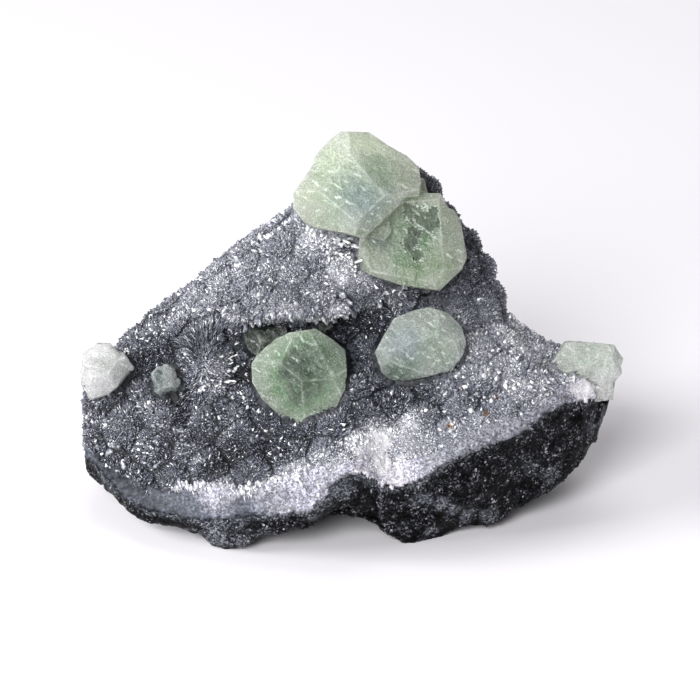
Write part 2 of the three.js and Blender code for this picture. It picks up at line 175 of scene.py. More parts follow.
# Paler patches and threads of quartz in the rock: x, y, z and reach in millimetres, strength.
PALE_PATCHES = [
    (-25, -28.5, 3.4, 3.4, 0.6),
    (-20, -28.5, 2, 3, 0.5),
    (-15.5, -28.5, 2.6, 2.6, 0.4),
    (12.5, -26.2, 9.8, 1.6, 0.5),
    (14.5, -26, 9.4, 1.6, 0.6),
    (16.7, -25.3, 8, 1.8, 0.65),
    (19, -24.3, 6.4, 2, 0.7),
    (21.4, -22.8, 4.6, 1.8, 0.6),
    (14.9, -24.5, 2.3, 1.3, 0.9),
    (36.6, -13.9, 8.5, 2.6, 0.5),
    (44.2, -7.7, 15.8, 2.4, 0.45),
    (33.6, -16.9, 12, 2.2, 0.3),
    (46.5, -4, 17, 2, 0.5),
    (26, -21, 4, 2.4, 0.4),
    (6, -27, 12.5, 1.2, 0.75),
    (5.6, -27.4, 10.5, 0.9, 0.7),
    (5.4, -27.2, 8.5, 0.8, 0.7),
    (5.3, -26.6, 6.5, 0.8, 0.6),
    (-1.5, -29.5, 13.5, 3, 0.5),
    (-7, -30.5, 8.5, 2, 0.3),
    (-44, -15.5, 7.5, 3, 0.35),
]


def merged(node):
    """A bmesh of a CAD node with its loose triangles joined."""
    shape = bmesh.new()
    shape.from_mesh(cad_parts[node].data)
    bmesh.ops.remove_doubles(shape, verts=shape.verts, dist=0.001 * MM)
    return shape


def piece_from(shape, name):
    """An object at the origin made from a bmesh, which is freed."""
    made = bpy.data.objects.new(name, bpy.data.meshes.new(name))
    shape.to_mesh(made.data)
    shape.free()
    scene.collection.objects.link(made)
    return made


def remodel(piece, spacing):
    """Gives a closed piece an even surface of small faces."""
    remesh = piece.modifiers.new("even_surface", "REMESH")
    remesh.mode = "VOXEL"
    remesh.voxel_size = spacing
    scene.view_layers[0].update()
    seen = piece.evaluated_get(bpy.context.evaluated_depsgraph_get())
    fine = bpy.data.meshes.new_from_object(seen)
    piece.modifiers.clear()
    rough, piece.data = piece.data, fine
    fine.name = piece.name
    bpy.data.meshes.remove(rough)


def arrays_of(mesh):
    """The vertices' places and smooth normals as two arrays."""
    places = np.zeros(len(mesh.vertices) * 3)
    normals = np.zeros(len(mesh.vertices) * 3)
    mesh.vertices.foreach_get("co", places)
    mesh.vertex_normals.foreach_get("vector", normals)
    return places.reshape(-1, 3), normals.reshape(-1, 3)


def set_places(mesh, places):
    """Moves the vertices to these places."""
    mesh.vertices.foreach_set("co", places.ravel())
    mesh.update()


def smooth_faces(mesh):
    """Shades the faces as one smooth surface."""
    mesh.polygons.foreach_set("use_smooth", [True] * len(mesh.polygons))


def store(mesh, name, values, domain="POINT"):
    """Keeps a number for each vertex or face of the mesh, for its material to read."""
    attribute = mesh.attributes.new(name, "FLOAT", domain)
    attribute.data.foreach_set("value", np.asarray(values, np.float32))


def swell(places, size, octaves=3, offset=0.0):
    """Smooth random relief from about -1 to 1 at each place."""
    shift = Vector((offset, -offset, 2 * offset))
    return np.array([noise.fractal(Vector(p) + shift, 1.0, 2.0, octaves) for p in places / size])


def chipped(places, size, steepness):
    """Relief of flat chips: each cell of broken rock leans its own way."""
    relief = np.zeros(len(places))
    for i, place in enumerate(places / size):
        nearest = noise.voronoi(Vector(place))[1][0]
        relief[i] = (Vector(place) - nearest).dot(noise.noise_vector(nearest * 3.7))
    return relief * size * steepness * 2


def smoothstep(low, high, values):
    """Rises smoothly from 0 at low to 1 at high."""
    t = np.clip((np.asarray(values) - low) / (high - low), 0, 1)
    return t * t * (3 - 2 * t)


def closeness(places, spot, reach, core, edge, fray=0):
    """Falls from 1 to 0 with the distance from a spot: it starts at the core, ends at the edge.

    Spot and reach are in millimetres, and core and edge are shares of the reach.
    """
    away = np.linalg.norm(places / MM - spot, axis=1) / reach
    return 1 - smoothstep(core, edge, away + fray)


def tree_of(*nodes):
    """One search tree over several CAD nodes."""
    joined = bmesh.new()
    for node in nodes:
        joined.from_mesh(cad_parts[node].data)
    found = BVHTree.FromBMesh(joined)
    joined.free()
    return found


def room_outside(places, normals, others):
    """How far others lie straight out of each place; 1 metre where none is near."""
    start_depth = 0.05 * MM
    room = np.ones(len(places))
    for i, (place, normal) in enumerate(zip(places, normals)):
        start = Vector(place) - Vector(normal) * start_depth
        hit = others.ray_cast(start, Vector(normal), CLOSE_GAP + start_depth)
        if hit[3] is not None:
            room[i] = hit[3] - start_depth
    return room


def paleness(places):
    """How pale the rock is at each place, from 0 to 1."""
    pale = np.zeros(len(places))
    fray = 0.6 * swell(places, 1.3 * MM, 3, 5.5)
    for *spot, reach, most in PALE_PATCHES:
        pale = np.maximum(pale, most * closeness(places, spot, reach, 0.5, 1.1, fray))
    return pale


def fade_at_crust(places):
    """How far quartz is mixed into the rock close under the crust, from 0 to 1."""
    crust = tree_of("quartz_druse")
    x = places[:, 0] / MM
    strong = np.maximum(1 - smoothstep(4, 7, np.abs(x + 1)), 1 - smoothstep(3, 6, np.abs(x + 23)))
    depth = np.array([crust.find_nearest(Vector(place))[3] for place in places]) / MM
    depth += 0.7 * swell(places, 1.1 * MM, 3, 1.7)
    return (0.4 + 0.3 * strong) * (1 - smoothstep(0.5, 1.4 + 1.6 * strong, depth))


noise.seed_set(RELIEF_SEED)
fluorite_nodes = sorted(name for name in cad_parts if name.startswith("fluorite"))

rock = piece_from(merged("matrix"), "matrix_rock")
remodel(rock, ROCK_SPACING)
places, normals = arrays_of(rock.data)
room = room_outside(places, normals, tree_of("quartz_druse", *fluorite_nodes))
bare = (room > CLOSE_GAP).astype(float)
relief = sum(chipped(places, size, steep) for size, steep in CHIPS)
relief += GRIT_RELIEF * swell(places, GRIT_SIZE, 2)
wall = smoothstep(0.25, 0.55, -normals[:, 1])
left_of_crack = smoothstep(CRACK_X + CRACK_WIDTH / 2, CRACK_X - CRACK_WIDTH / 2, places[:, 0])
recess = wall * left_of_crack * smoothstep(-7 * MM, 1 * MM, places[:, 0])
relief -= CRACK_STEP * recess
relief *= bare * smoothstep(0.1 * MM, FOOT_HEIGHT, places[:, 2])
grown = places + normals * relief[:, None]
grown[:, 2] = np.maximum(grown[:, 2], 0)
set_places(rock.data, grown)
smooth_faces(rock.data)
store(rock.data, "pale", np.maximum(paleness(grown), fade_at_crust(grown)))
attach(rock, "root")
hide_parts("matrix")

FINE_GRAIN = 0.28 * MM
COARSE_GRAIN = 0.6 * MM
GREY_PATCH = 5 * MM
BLOTCH = 2.2 * MM
VEIN_SPACING = 9 * MM


def covered(tree, colour, cover, pattern, *stops):
    """A colour with another laid over it where a ramp of a pattern is light."""
    share = add_node(tree, "ValToRGB", {0: pattern}, stops=stops)
    return add_node(tree, "Mix", {0: share, 6: colour, 7: cover}, {"data_type": "RGBA"}).outputs[2]


def mottled(tree, colour, share, pattern, *stops, how="OVERLAY"):
    """A colour made lighter and darker by a ramp of a pattern."""
    tones = add_node(tree, "ValToRGB", {0: pattern}, stops=stops)
    settings = {"data_type": "RGBA", "blend_type": how}
    return add_node(tree, "Mix", {0: share, 6: colour, 7: tones}, settings).outputs[2]


# Fresh break of fine dark rock: near-black grains with pale quartz grains between them,
# grey patches, and thin bluish veins. Grains glint where a face lies flat to the light.
# Finer grains than these would not show, so the rock is drawn this coarse.
rock_finish, tree = new_material("broken_dark_rock")
where = add_node(tree, "TexCoord").outputs["Object"]
fine_cells = add_node(tree, "TexVoronoi", {"Vector": where, "Scale": 1 / FINE_GRAIN})
fine_grains = add_node(tree, "SeparateColor", {0: fine_cells.outputs["Color"]})
coarse_cells = add_node(tree, "TexVoronoi", {"Vector": where, "Scale": 1 / COARSE_GRAIN})
coarse_grains = add_node(tree, "SeparateColor", {0: coarse_cells.outputs["Color"]})
grains = add_node(tree, "Mix", {0: 0.25, 2: fine_grains, 3: coarse_grains})
patches = add_node(
    tree,
    "TexNoise",
    {"Vector": where, "Scale": 1 / GREY_PATCH, "Detail": 6, "Roughness": 0.66, "Distortion": 0.6},
)
veins = add_node(
    tree,
    "TexNoise",
    {"Vector": where, "Scale": 1 / VEIN_SPACING, "Detail": 4, "Roughness": 0.55, "Distortion": 1.4},
)
blotches = add_node(
    tree, "TexNoise", {"Vector": where, "Scale": 1 / BLOTCH, "Detail": 4, "Roughness": 0.6}
)
dark_stops = [
    (0.2, "020203"), (0.46, "0a0a0c"), (0.64, "232428"),
    (0.77, "48494f"), (0.88, "808188"), (1.0, "d4d5da"),
]
colour = add_node(tree, "ValToRGB", {0: grains}, stops=dark_stops)
grey_stops = [(0.2, "1c1d21"), (0.6, "484a50"), (0.95, "a9aab0")]
greyer = add_node(tree, "ValToRGB", {0: grains}, stops=grey_stops)
colour = covered(tree, colour, greyer, patches, (0.54, "000000"), (0.66, "a0a0a0"))
colour = mottled(tree, colour, 0.9, blotches, (0.44, "181818"), (0.6, "ffffff"), how="MULTIPLY")
vein_colour = linear("6c7480")
colour = covered(
    tree, colour, vein_colour, veins, (0.488, "000000"), (0.5, "505050"), (0.512, "000000")
)
pale_here = add_node(tree, "Attribute", settings={"attribute_name": "pale"}).outputs["Fac"]
pale_stops = [(0.15, "24262b"), (0.5, "4f535b"), (0.9, "a6a8b0")]
paler = add_node(tree, "ValToRGB", {0: grains}, stops=pale_stops)
colour = add_node(tree, "Mix", {0: pale_here, 6: colour, 7: paler}, {"data_type": "RGBA"}).outputs[2]
glossier = add_node(tree, "ValToRGB", {0: grains}, stops=[(0.6, "b0b0b0"), (0.95, "404040")])
bumps = add_node(tree, "Bump", {"Height": grains, "Strength": 0.9, "Distance": 0.25 * MM})
surface = add_node(
    tree,
    "BsdfPrincipled",
    {
        "Base Color": colour,
        "Roughness": glossier,
        "IOR": 1.54,
        "Specular IOR Level": 0.06,
        "Normal": bumps,
    },
)
add_node(tree, "OutputMaterial", {"Surface": surface})
rock.data.materials.append(rock_finish)


# ---------------------------------------------------------------- quartz crust
# The crust that grew over the rock: massive milky quartz, broken across along the front,
# where it shows as a white band, and grown over with points everywhere else.

CRUST_SPACING = 0.5 * MM  # of the vertices of the remodelled surface
POINT_STAND = 0.6 * MM  # the points' tips stand this far above the massive quartz
DRUSE_SEED = 41
USUAL_THICKNESS = 5 * MM
MOST_THICKNESS = 8 * MM
QUARTZ_IOR = 1.544
SOCKET_OVERLAP = 0.12 * MM  # the crust closes on what it touches by this much
LUMP_SIZE = 1.5 * MM

# Upper edge and lower edge of the broken band along the front, as x, y, z in millimetres.
RIM = [
    (-50.6, -5.2, 11.5), (-44.9, -11.1, 10.4), (-37.6, -18.2, 9.3), (-28.5, -24.3, 11.6),
    (-19.7, -27.4, 12.4), (-10.7, -27.3, 14.8), (-1.3, -27.2, 19.7), (6.2, -20.9, 19.1),
    (15, -20.9, 19.3), (22.9, -19.5, 21.8), (30.7, -16.8, 23.2), (40, -9.3, 25), (50.1, -1.4, 22.2),
]
CONTACT = [
    (-50, -8.7, 10.4), (-44.9, -15.4, 8.5), (-37.6, -23.5, 6.3), (-28.3, -27.9, 6.2),
    (-19.9, -29.1, 7.7), (-10.4, -31.2, 9.1), (-5.5, -31.1, 11), (-1.7, -30.5, 17.2),
    (2.3, -30, 17), (7.1, -26.8, 12.3), (16, -25.8, 15.7), (23.1, -23.3, 18.5), (31, -19.7, 20.4),
    (39.1, -13.3, 23), (45.2, -7.8, 20.8), (49.1, -1.8, 19),
]

# How far down the broken band the points reach, along the front: x in millimetres, reach.
POINT_REACH = [
    (-52, 0.45), (-32, 0.4), (-27, 0.08), (-6, 0.1), (-3, 0.6), (17, 0.6), (21, 0.4), (38, 0.4),
    (46, -0.2),
]

# Where the quartz is milky or clear: x, y, z and reach in millimetres, and how milky.
# 0 is clear quartz over dark rock, 1 is snow-white massive quartz.
MILKY_PLACES = [
    (-32, -8.4, 22.6, 3.4, 0.04),
    (-31, -13, 20, 2.6, 0.08),
    (-29.8, -17.4, 18, 2.8, 0.08),
    (-25.6, -24.3, 14, 3.2, 0.06),
    (-37, -1, 26.7, 4, 0.08),
    (-26, -8, 27, 4.5, 0.5),
    (-19, -7, 26, 4, 0.03),
    (-17, 0, 31, 6, 0.02),
    (-2, 0, 33, 6, 0.03),
    (5, 0, 33, 4, 0.1),
    (-22, -22.5, 16.5, 4, 0.04),
    (-14, -23, 17.5, 4, 0.08),
    (-25.5, -10, 25.5, 3.4, 0.42),
    (-40, -9, 14, 5, 0.36),
    (-2, -16, 28, 6, 0.4),
    (5, -14, 29, 5, 0.42),
    (24, -15, 24, 7, 0.4),
    (31, -12, 26, 4, 0.66),
    (34, -6, 27, 9, 0.6),
    (45, -4, 22, 7, 0.84),
    (43.5, -8, 23.5, 4.5, 0.9),
    (-19.5, 3, 50, 5, 0.6),
    (-6, 2, 50, 6, 0.64),
    (-1, -4, 46, 4.5, 0.74),
    (3, -3, 44.5, 3.5, 0.66),
    (-22, -5.8, 37, 3, 0.6),
    (-16, -6, 38, 3, 0.55),
    (-11, -7, 38, 3.4, 0.72),
    (-5.5, -5, 36.5, 3.4, 0.68),
    (-1.7, -7, 38.6, 3, 0.75),
    (5.7, -0.6, 38.3, 3, 0.55),
    (-36, -22, 9, 6, 0.22),
    (-43, -15, 10, 6, 0.2),
    (-14, -29, 12, 6, 0.6),
    (-24, -27, 11, 5, 0.64),
    (-7, -28.5, 14, 5, 0.62),
    (18, -21, 20, 4.5, 0.55),
    (-4, -28.5, 16, 4, 0.58),
    (12, -18.5, 22, 5, 0.5),
    (2, -25, 20, 5, 0.9),
    (-5.5, -29.5, 14.5, 3.2, 0.62),
    (10.5, -22, 17.5, 4, 0.6),
    (6, -22.5, 20, 5, 1.0),
    (10, -19.5, 22, 3.6, 0.84),
    (6, -25.2, 16.2, 3.4, 1.0),
    (24, 4, 40, 6, 0.42),
    (32, 1, 29, 6, 0.74),
]

RUSTY_PLACES = [
    # x, y, z and reach in millimetres
    (21, -12.2, 26.3, 0.5),
    (25.1, -18.1, 23.4, 0.7),
    (18.3, -20, 21.7, 0.7),
    (-31.9, -2.6, 32.3, 0.4),
    (27, -15, 25, 0.5),
    (14, -17, 24.5, 0.4),
]

# Rosettes that stand out: x, y, z, reach and rise in millimetres.
ROSETTES = [
    (-27.3, -5.8, 27.9, 7.5, 1.0),
    (-35, -13.5, 20, 4.2, 0.6),
    (-29.5, -18, 17.5, 3.6, 0.5),
    (-26.5, -22, 15, 3.4, 0.4),
    (-33, -22, 11.5, 3, 0.4),
    (-20.3, -20.2, 19.7, 4.4, 0.7),
    (-18, -25.5, 15.5, 3, 0.4),
    (-43, -8.1, 17, 4.5, 0.4),
    (-21, -6, 37.5, 3.4, 0.5),
    (-13, -7, 40, 3.6, 0.5),
    (-8, -6.5, 38, 3.4, 0.6),
    (-2, -7, 38, 3.4, 0.7),
    (-6, 0, 49.5, 5, 0.6),
    (-1, -4, 46, 3.6, 0.6),
    (9, 2, 38, 3.2, 0.3),
    (24, -12, 26, 4, 0.15),
    (33, -3, 28, 3.6, 0.2),
]
ROSETTE_SPACING = 5.2 * MM  # between the rosettes that fill the rest


def along_line(line, x):
    """Places on a line at each x."""
    knots = np.array(line) * MM
    y = np.interp(x, knots[:, 0], knots[:, 1])
    z = np.interp(x, knots[:, 0], knots[:, 2])
    return np.stack([x, y, z], 1)


def across_band(places):
    """How far down the broken band places lie: below 0 over the rim, 1 at the contact."""
    rim = along_line(RIM, places[:, 0])
    fall = along_line(CONTACT, places[:, 0]) - rim
    return ((places - rim) * fall).sum(1) / (fall * fall).sum(1)


def milkiness(places, normals):
    """How milky the quartz is at each place, from 0 to 1, less so on the upper flank as painted shade.
    """
    x, y, z = places.T / MM
    upper = smoothstep(31, 37, z)
    # Faces turned right or to the back on the upper mass, away from the soft boxes, lose part of the
    # upper milkiness: painted shade on the flank.
    painted_shade_on_flank = smoothstep(0.25, 0.6, normals[:, 0]) * smoothstep(8, 16, x)
    painted_shade_on_flank += smoothstep(0, 8, y) * (x > 12)
    arm = smoothstep(12, 22, x) * (1 - upper)
    milk = 0.28 + 0.2 * upper * (1 - 0.6 * np.clip(painted_shade_on_flank, 0, 1)) + 0.34 * arm
    for *spot, reach, most in MILKY_PLACES:
        milk += (most - milk) * closeness(places, spot, reach, 0.3, 1.15)
    near_band = smoothstep(-0.9, 0, across_band(places)) * (normals[:, 1] < 0.6)
    in_band = 0.66 * smoothstep(-18, -12, x) + 0.16 * smoothstep(-2, 3, x)
    in_band -= 0.21 * smoothstep(9, 14, x)
    milk += np.maximum(in_band - milk, 0) * near_band
    drift = 0.06 * swell(places, 2.6 * MM, 3, 9.1) + 0.09 * swell(places, 7 * MM, 2, 4.9)
    return np.clip(milk + drift, 0, 1)


def spread(places, gaps):
    """Picks places in turn, each clear of the ones before by the mean of their gaps."""
    cells, kept = {}, []
    keys = np.floor(places / gaps.max()).astype(int)
    steps = [(i, j, k) for i in (0, 1, -1) for j in (0, 1, -1) for k in (0, 1, -1)]
    rows = zip(keys.tolist(), places.tolist(), gaps.tolist())
    for i, ((x, y, z), (px, py, pz), gap) in enumerate(rows):
        free = True
        for dx, dy, dz in steps:
            for ox, oy, oz, other in cells.get((x + dx, y + dy, z + dz), ()):
                if (px - ox) ** 2 + (py - oy) ** 2 + (pz - oz) ** 2 < ((gap + other) / 2) ** 2:
                    free = False
                    break
            if not free:
                break
        if free:
            cells.setdefault((x, y, z), []).append((px, py, pz, gap))
            kept.append(i)
    return np.array(kept)


crust = piece_from(merged("quartz_druse"), "quartz_crust")
remodel(crust, CRUST_SPACING)
skin_places, skin_normals = arrays_of(crust.data)
room = room_outside(skin_places, skin_normals, tree_of("matrix", *fluorite_nodes))
buried = room <= CLOSE_GAP
across = across_band(skin_places)
front = skin_normals[:, 1] < 0.6
reach_x, reach = np.array(POINT_REACH).T
point_reach = np.interp(skin_places[:, 0], reach_x * MM, reach)
fray = np.where(np.abs(skin_places[:, 0] + 20 * MM) > 8 * MM, 0.3, 0.0)
ragged_reach = point_reach + fray * swell(skin_places, 1.6 * MM, 3, 12)
broken = smoothstep(ragged_reach - 0.3, ragged_reach, across) * front
rock_tree = tree_of("matrix")
thickness = np.full(len(skin_places), USUAL_THICKNESS)
for i in np.nonzero(~buried)[0]:
    hit = rock_tree.ray_cast(Vector(skin_places[i]), -Vector(skin_normals[i]), MOST_THICKNESS)
    if hit[3] is not None:
        thickness[i] = hit[3]
milk = milkiness(skin_places, skin_normals)
stand = POINT_STAND * (1 - 0.45 * smoothstep(0.5, 0.7, milk) - 0.3 * smoothstep(0.75, 0.95, milk))
sunk = np.minimum(stand, 0.6 * thickness) * (1 - 0.7 * broken)

# Rosettes: centre, reach, how far they lift the druse, and how deep their points meet.
random = np.random.default_rng(DRUSE_SEED)
named = np.array(ROSETTES) * MM
hearts = [(Vector(row[:3]), row[3], row[4], 2.6 * MM) for row in named]
order = random.permutation(np.nonzero(~buried)[0])
fillers = spread(skin_places[order], np.full(len(order), ROSETTE_SPACING))
for place in skin_places[order][fillers]:
    if (np.linalg.norm(named[:, :3] - place, axis=1) > 0.9 * named[:, 3] + 0.8 * MM).all():
        rounded = 0.3 * MM if place[0] < 0 and place[2] < 33 * MM else 0.12 * MM
        rounded = 0.75 * MM if place[0] > 12 * MM and place[2] > 31 * MM else rounded
        hearts.append((Vector(place), 3.4 * MM, rounded, 4 * MM))
centres = KDTree(len(hearts))
for i, heart in enumerate(hearts):
    centres.insert(heart[0], i)
centres.balance()


def from_heart(place):
    """The rosette that a place is in, and how far out in it the place lies; 1 is its edge."""
    near = centres.find_n(Vector(place), 6)
    outness, index = min((distance / hearts[i][1], i) for _, i, distance in near)
    return hearts[index], outness


def rosette_rise(place):
    """How far a rosette lifts the druse at a place, and how far out in it the place is."""
    (_, _, lift, _), outness = from_heart(place)
    return lift - 1.8 * lift * min(1.2, outness) ** 2, outness


rise, outness = np.array([rosette_rise(place) for place in skin_places]).T
sunk -= np.minimum(rise, 0.4 * MM) * (1 - broken)
lumps = (0.12 + 0.2 * broken * milk) * MM * swell(skin_places, LUMP_SIZE, 4)
lumps += 0.8 * broken * chipped(skin_places, LUMP_SIZE, 0.3)
move = np.where(buried, room + SOCKET_OVERLAP, lumps - sunk)
set_places(crust.data, skin_places + skin_normals * move[:, None])
smooth_faces(crust.data)
darker_end = 0.4 * smoothstep(-24 * MM, -34 * MM, skin_places[:, 0])
store(crust.data, "across", across + darker_end)
store(crust.data, "broken", np.where(buried, 0.6, broken))
store(crust.data, "milk", milk)
# Painted shade: the bed is darkened in the valleys between rosettes.
store(crust.data, "painted_valley_shade", 0.8 * smoothstep(0.7, 1.3, outness) * (1 - broken) * (1 - milk))
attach(crust, "root")
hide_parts("quartz_druse")

CLOUD = 1.6 * MM
FINE_CLOUD = 0.45 * MM
SUGAR_GRAIN = 0.28 * MM
FIBRE = 1.3 * MM
FIBRE_STRETCH = (2.4, 1.0, 0.7)

# Colours of the quartz by its milkiness: under the points, and over the broken band at its
# middle, at the rim and near the rock.
QUARTZ_STOPS = [
    [(0.0, "0c0d10"), (0.3, "2b2e37"), (0.6, "858895"), (1.0, "f4f3f6")],
    [(0.1, "23262e"), (0.35, "656a78"), (0.6, "a9a9b5"), (0.85, "e6e4e8"), (1.0, "ffffff")],
    [(0.2, "4a4d58"), (0.5, "e2e1e5")],
    [(0.15, "2c2f36"), (0.5, "858a99"), (1.0, "eeecf0")],
]

# Massive quartz: clear grey where it lies thin over the dark rock, milky elsewhere. The
# broken band is snow white to lilac grey, bluer towards the rock.
crust_finish, tree = new_material("massive_milky_quartz")
where = add_node(tree, "TexCoord").outputs["Object"]
broken_here, across_here, milk_here, painted_valley_shade_here = (
    add_node(tree, "Attribute", settings={"attribute_name": name}).outputs["Fac"]
    for name in ("broken", "across", "milk", "painted_valley_shade")
)
cloud = add_node(
    tree, "TexNoise", {"Vector": where, "Scale": 1 / CLOUD, "Detail": 5, "Roughness": 0.65}
)
fine = add_node(
    tree, "TexNoise", {"Vector": where, "Scale": 1 / FINE_CLOUD, "Detail": 4, "Roughness": 0.7}
)
cells = add_node(tree, "TexVoronoi", {"Vector": where, "Scale": 1 / SUGAR_GRAIN})
grains = add_node(tree, "SeparateColor", {0: cells.outputs["Color"]})
drawn_out = add_node(tree, "Mapping", {"Vector": where, "Scale": FIBRE_STRETCH})
fibres = add_node(
    tree, "TexNoise", {"Vector": drawn_out, "Scale": 1 / FIBRE, "Detail": 4, "Roughness": 0.6}
)
bed, band, at_rim, at_rock = (
    add_node(tree, "ValToRGB", {0: milk_here}, stops=stops) for stops in QUARTZ_STOPS
)
# Painted shade: the bed turns near-black in the valleys between rosettes.
into_painted_valley_shade = {0: painted_valley_shade_here, 6: bed, 7: linear("17181d")}
bed = add_node(tree, "Mix", into_painted_valley_shade, {"data_type": "RGBA"}).outputs[2]
band = covered(tree, band, at_rim, across_here, (0.0, "a0a0a0"), (0.45, "000000"))
uneven = add_node(tree, "Math", {0: across_here, 1: fine}, {"operation": "ADD"})
ragged = add_node(tree, "Math", {0: cloud, 1: 1.4, 2: uneven}, {"operation": "MULTIPLY_ADD"})
ragged = add_node(tree, "Math", {0: ragged, 1: 0.7}, {"operation": "SUBTRACT"})
band = covered(tree, band, at_rock, ragged, (0.75, "000000"), (1.2, "8c8c8c"))
band = covered(tree, band, linear("1c1c21"), ragged, (1.25, "000000"), (1.45, "e0e0e0"))
colour = add_node(tree, "Mix", {0: broken_here, 6: bed, 7: band}, {"data_type": "RGBA"}).outputs[2]
colour = mottled(tree, colour, 0.6, fibres, (0.35, "585858"), (0.65, "b0b0b0"))
colour = mottled(tree, colour, 0.65, fine, (0.3, "585858"), (0.5, "b0b0b0"), (0.66, "ffffff"))
colour = mottled(tree, colour, 0.5, cloud, (0.35, "585858"), (0.65, "a8a8a8"))
colour = mottled(tree, colour, 0.6, grains, (0.1, "5c5c5c"), (0.8, "ffffff"))
bumps = add_node(tree, "Bump", {"Height": fine, "Strength": 0.7, "Distance": 0.25 * MM})
surface = add_node(
    tree,
    "BsdfPrincipled",
    {
        "Base Color": colour,
        "Roughness": 0.45,
        "IOR": QUARTZ_IOR,
        "Specular IOR Level": 0.35,
        "Normal": bumps,
    },
)
add_node(tree, "OutputMaterial", {"Surface": surface})
crust.data.materials.append(crust_finish)


# ---------------------------------------------------------------- quartz points
# Thousands of clear quartz crystals, each a six-sided prism with a six-sided point,
# grown out of the crust. They stand close together and fan out in rosettes.

POINT_FORMS = 8
TIP_RISE = 1.25  # height of a tip over the radius of its prism
CANDIDATES = 600000
LARGE_SHARE = 0.003  # share of the candidates that grow large
LARGE_RADIUS = 0.42 * MM  # points over this radius get more faces painted white as glints
LARGE_PAINTED_GLINTS = 0.22  # share of a large point's faces painted white as glints
LEDGE_HEIGHT = 33 * MM
SOCKET_DEPTH = 0.12 * MM  # a tip may lie this far inside a fluorite

# The druse in parts: name; gap between points, radius and length in millimetres; how far
# the faces of a point differ in painted tone, and the share of its faces painted white as glints.
DRUSE_PARTS = [
    ("terrace_left", 0.285, 0.20, 1.6, 0.20, 0.024),
    ("terrace_right", 0.30, 0.21, 1.6, 0.17, 0.018),
    ("slope_left", 0.27, 0.19, 1.4, 0.19, 0.022),
    ("slope_right", 0.27, 0.19, 1.4, 0.17, 0.018),
    ("arm", 0.30, 0.23, 1.2, 0.11, 0.010),
    ("back", 0.46, 0.36, 1.6, 0.14, 0.012),
]
GAPS, WIDTHS, LENGTHS = (np.array(column) * MM for column in list(zip(*DRUSE_PARTS))[1:4])
PAINTED_GLINT_SHARES = np.array([part[5] for part in DRUSE_PARTS])

# Quartz, clear to milky: smooth glassy faces that glint. Faces painted white are painted
# glints that stand in for light thrown back by a crack or a far face inside. The faces of a
# point also differ in painted tone for the same reason. Rust stains a few of them brown.
quartz_finish, tree = new_material("clear_to_milky_quartz")
tone, rust = (
    add_node(tree, "Attribute", settings={"attribute_name": name}).outputs["Fac"]
    for name in ("tone", "rust")
)
# Tone 1 is a painted glint: the face turns white and less clear.
tone_stops = [(0.0, "23252d"), (0.28, "686d7d"), (0.6, "b2b4c1"), (1.0, "ffffff")]
colour = add_node(tree, "ValToRGB", {0: tone}, stops=tone_stops)
stained = {0: rust, 6: colour, 7: linear("96683f")}
clear_stops = [(0.64, "bcbcbc"), (0.85, "808080"), (1.0, "404040")]
surface = add_node(
    tree,
    "BsdfPrincipled",
    {
        "Base Color": add_node(tree, "Mix", stained, {"data_type": "RGBA"}).outputs[2],
        "Roughness": 0.05,
        "IOR": QUARTZ_IOR,
        "Transmission Weight": add_node(tree, "ValToRGB", {0: tone}, stops=clear_stops),
    },
)
add_node(tree, "OutputMaterial", {"Surface": surface})


def point_form(random):
    """One quartz point around its shoulder: prism down to z = -1, tip upwards."""
    form = bmesh.new()
    bmesh.ops.create_cone(form, cap_ends=True, segments=6, radius1=0.85, radius2=1.0, depth=1.0)
    bmesh.ops.translate(form, verts=form.verts, vec=(0, 0, -0.5))
    top = max(form.faces, key=lambda face: face.calc_center_median().z)
    shoulder = list(top.verts)
    tip = bmesh.ops.poke(form, faces=[top])["verts"][0]
    tip.co = Vector((*random.normal(0, 0.16, 2), TIP_RISE))
    for i, corner in enumerate(sorted(shoulder, key=lambda v: math.atan2(v.co.y, v.co.x))):
        corner.co.z += (0.24 if i % 2 else -0.14) + random.normal(0, 0.08)
        corner.co.xy *= 1 + random.normal(0, 0.08)
    bmesh.ops.triangulate(form, faces=form.faces)
    form.verts.index_update()
    corners = np.array([v.co for v in form.verts])
    faces = np.array([[v.index for v in face.verts] for face in form.faces])
    form.free()
    return corners, faces


def rustiness(places):
    """How far iron stains the quartz at each place, from 0 to 1."""
    stain = np.zeros(len(places))
    for *spot, reach in RUSTY_PLACES:
        stain = np.maximum(stain, closeness(places, spot, reach, 0.5, 1.2))
    return stain


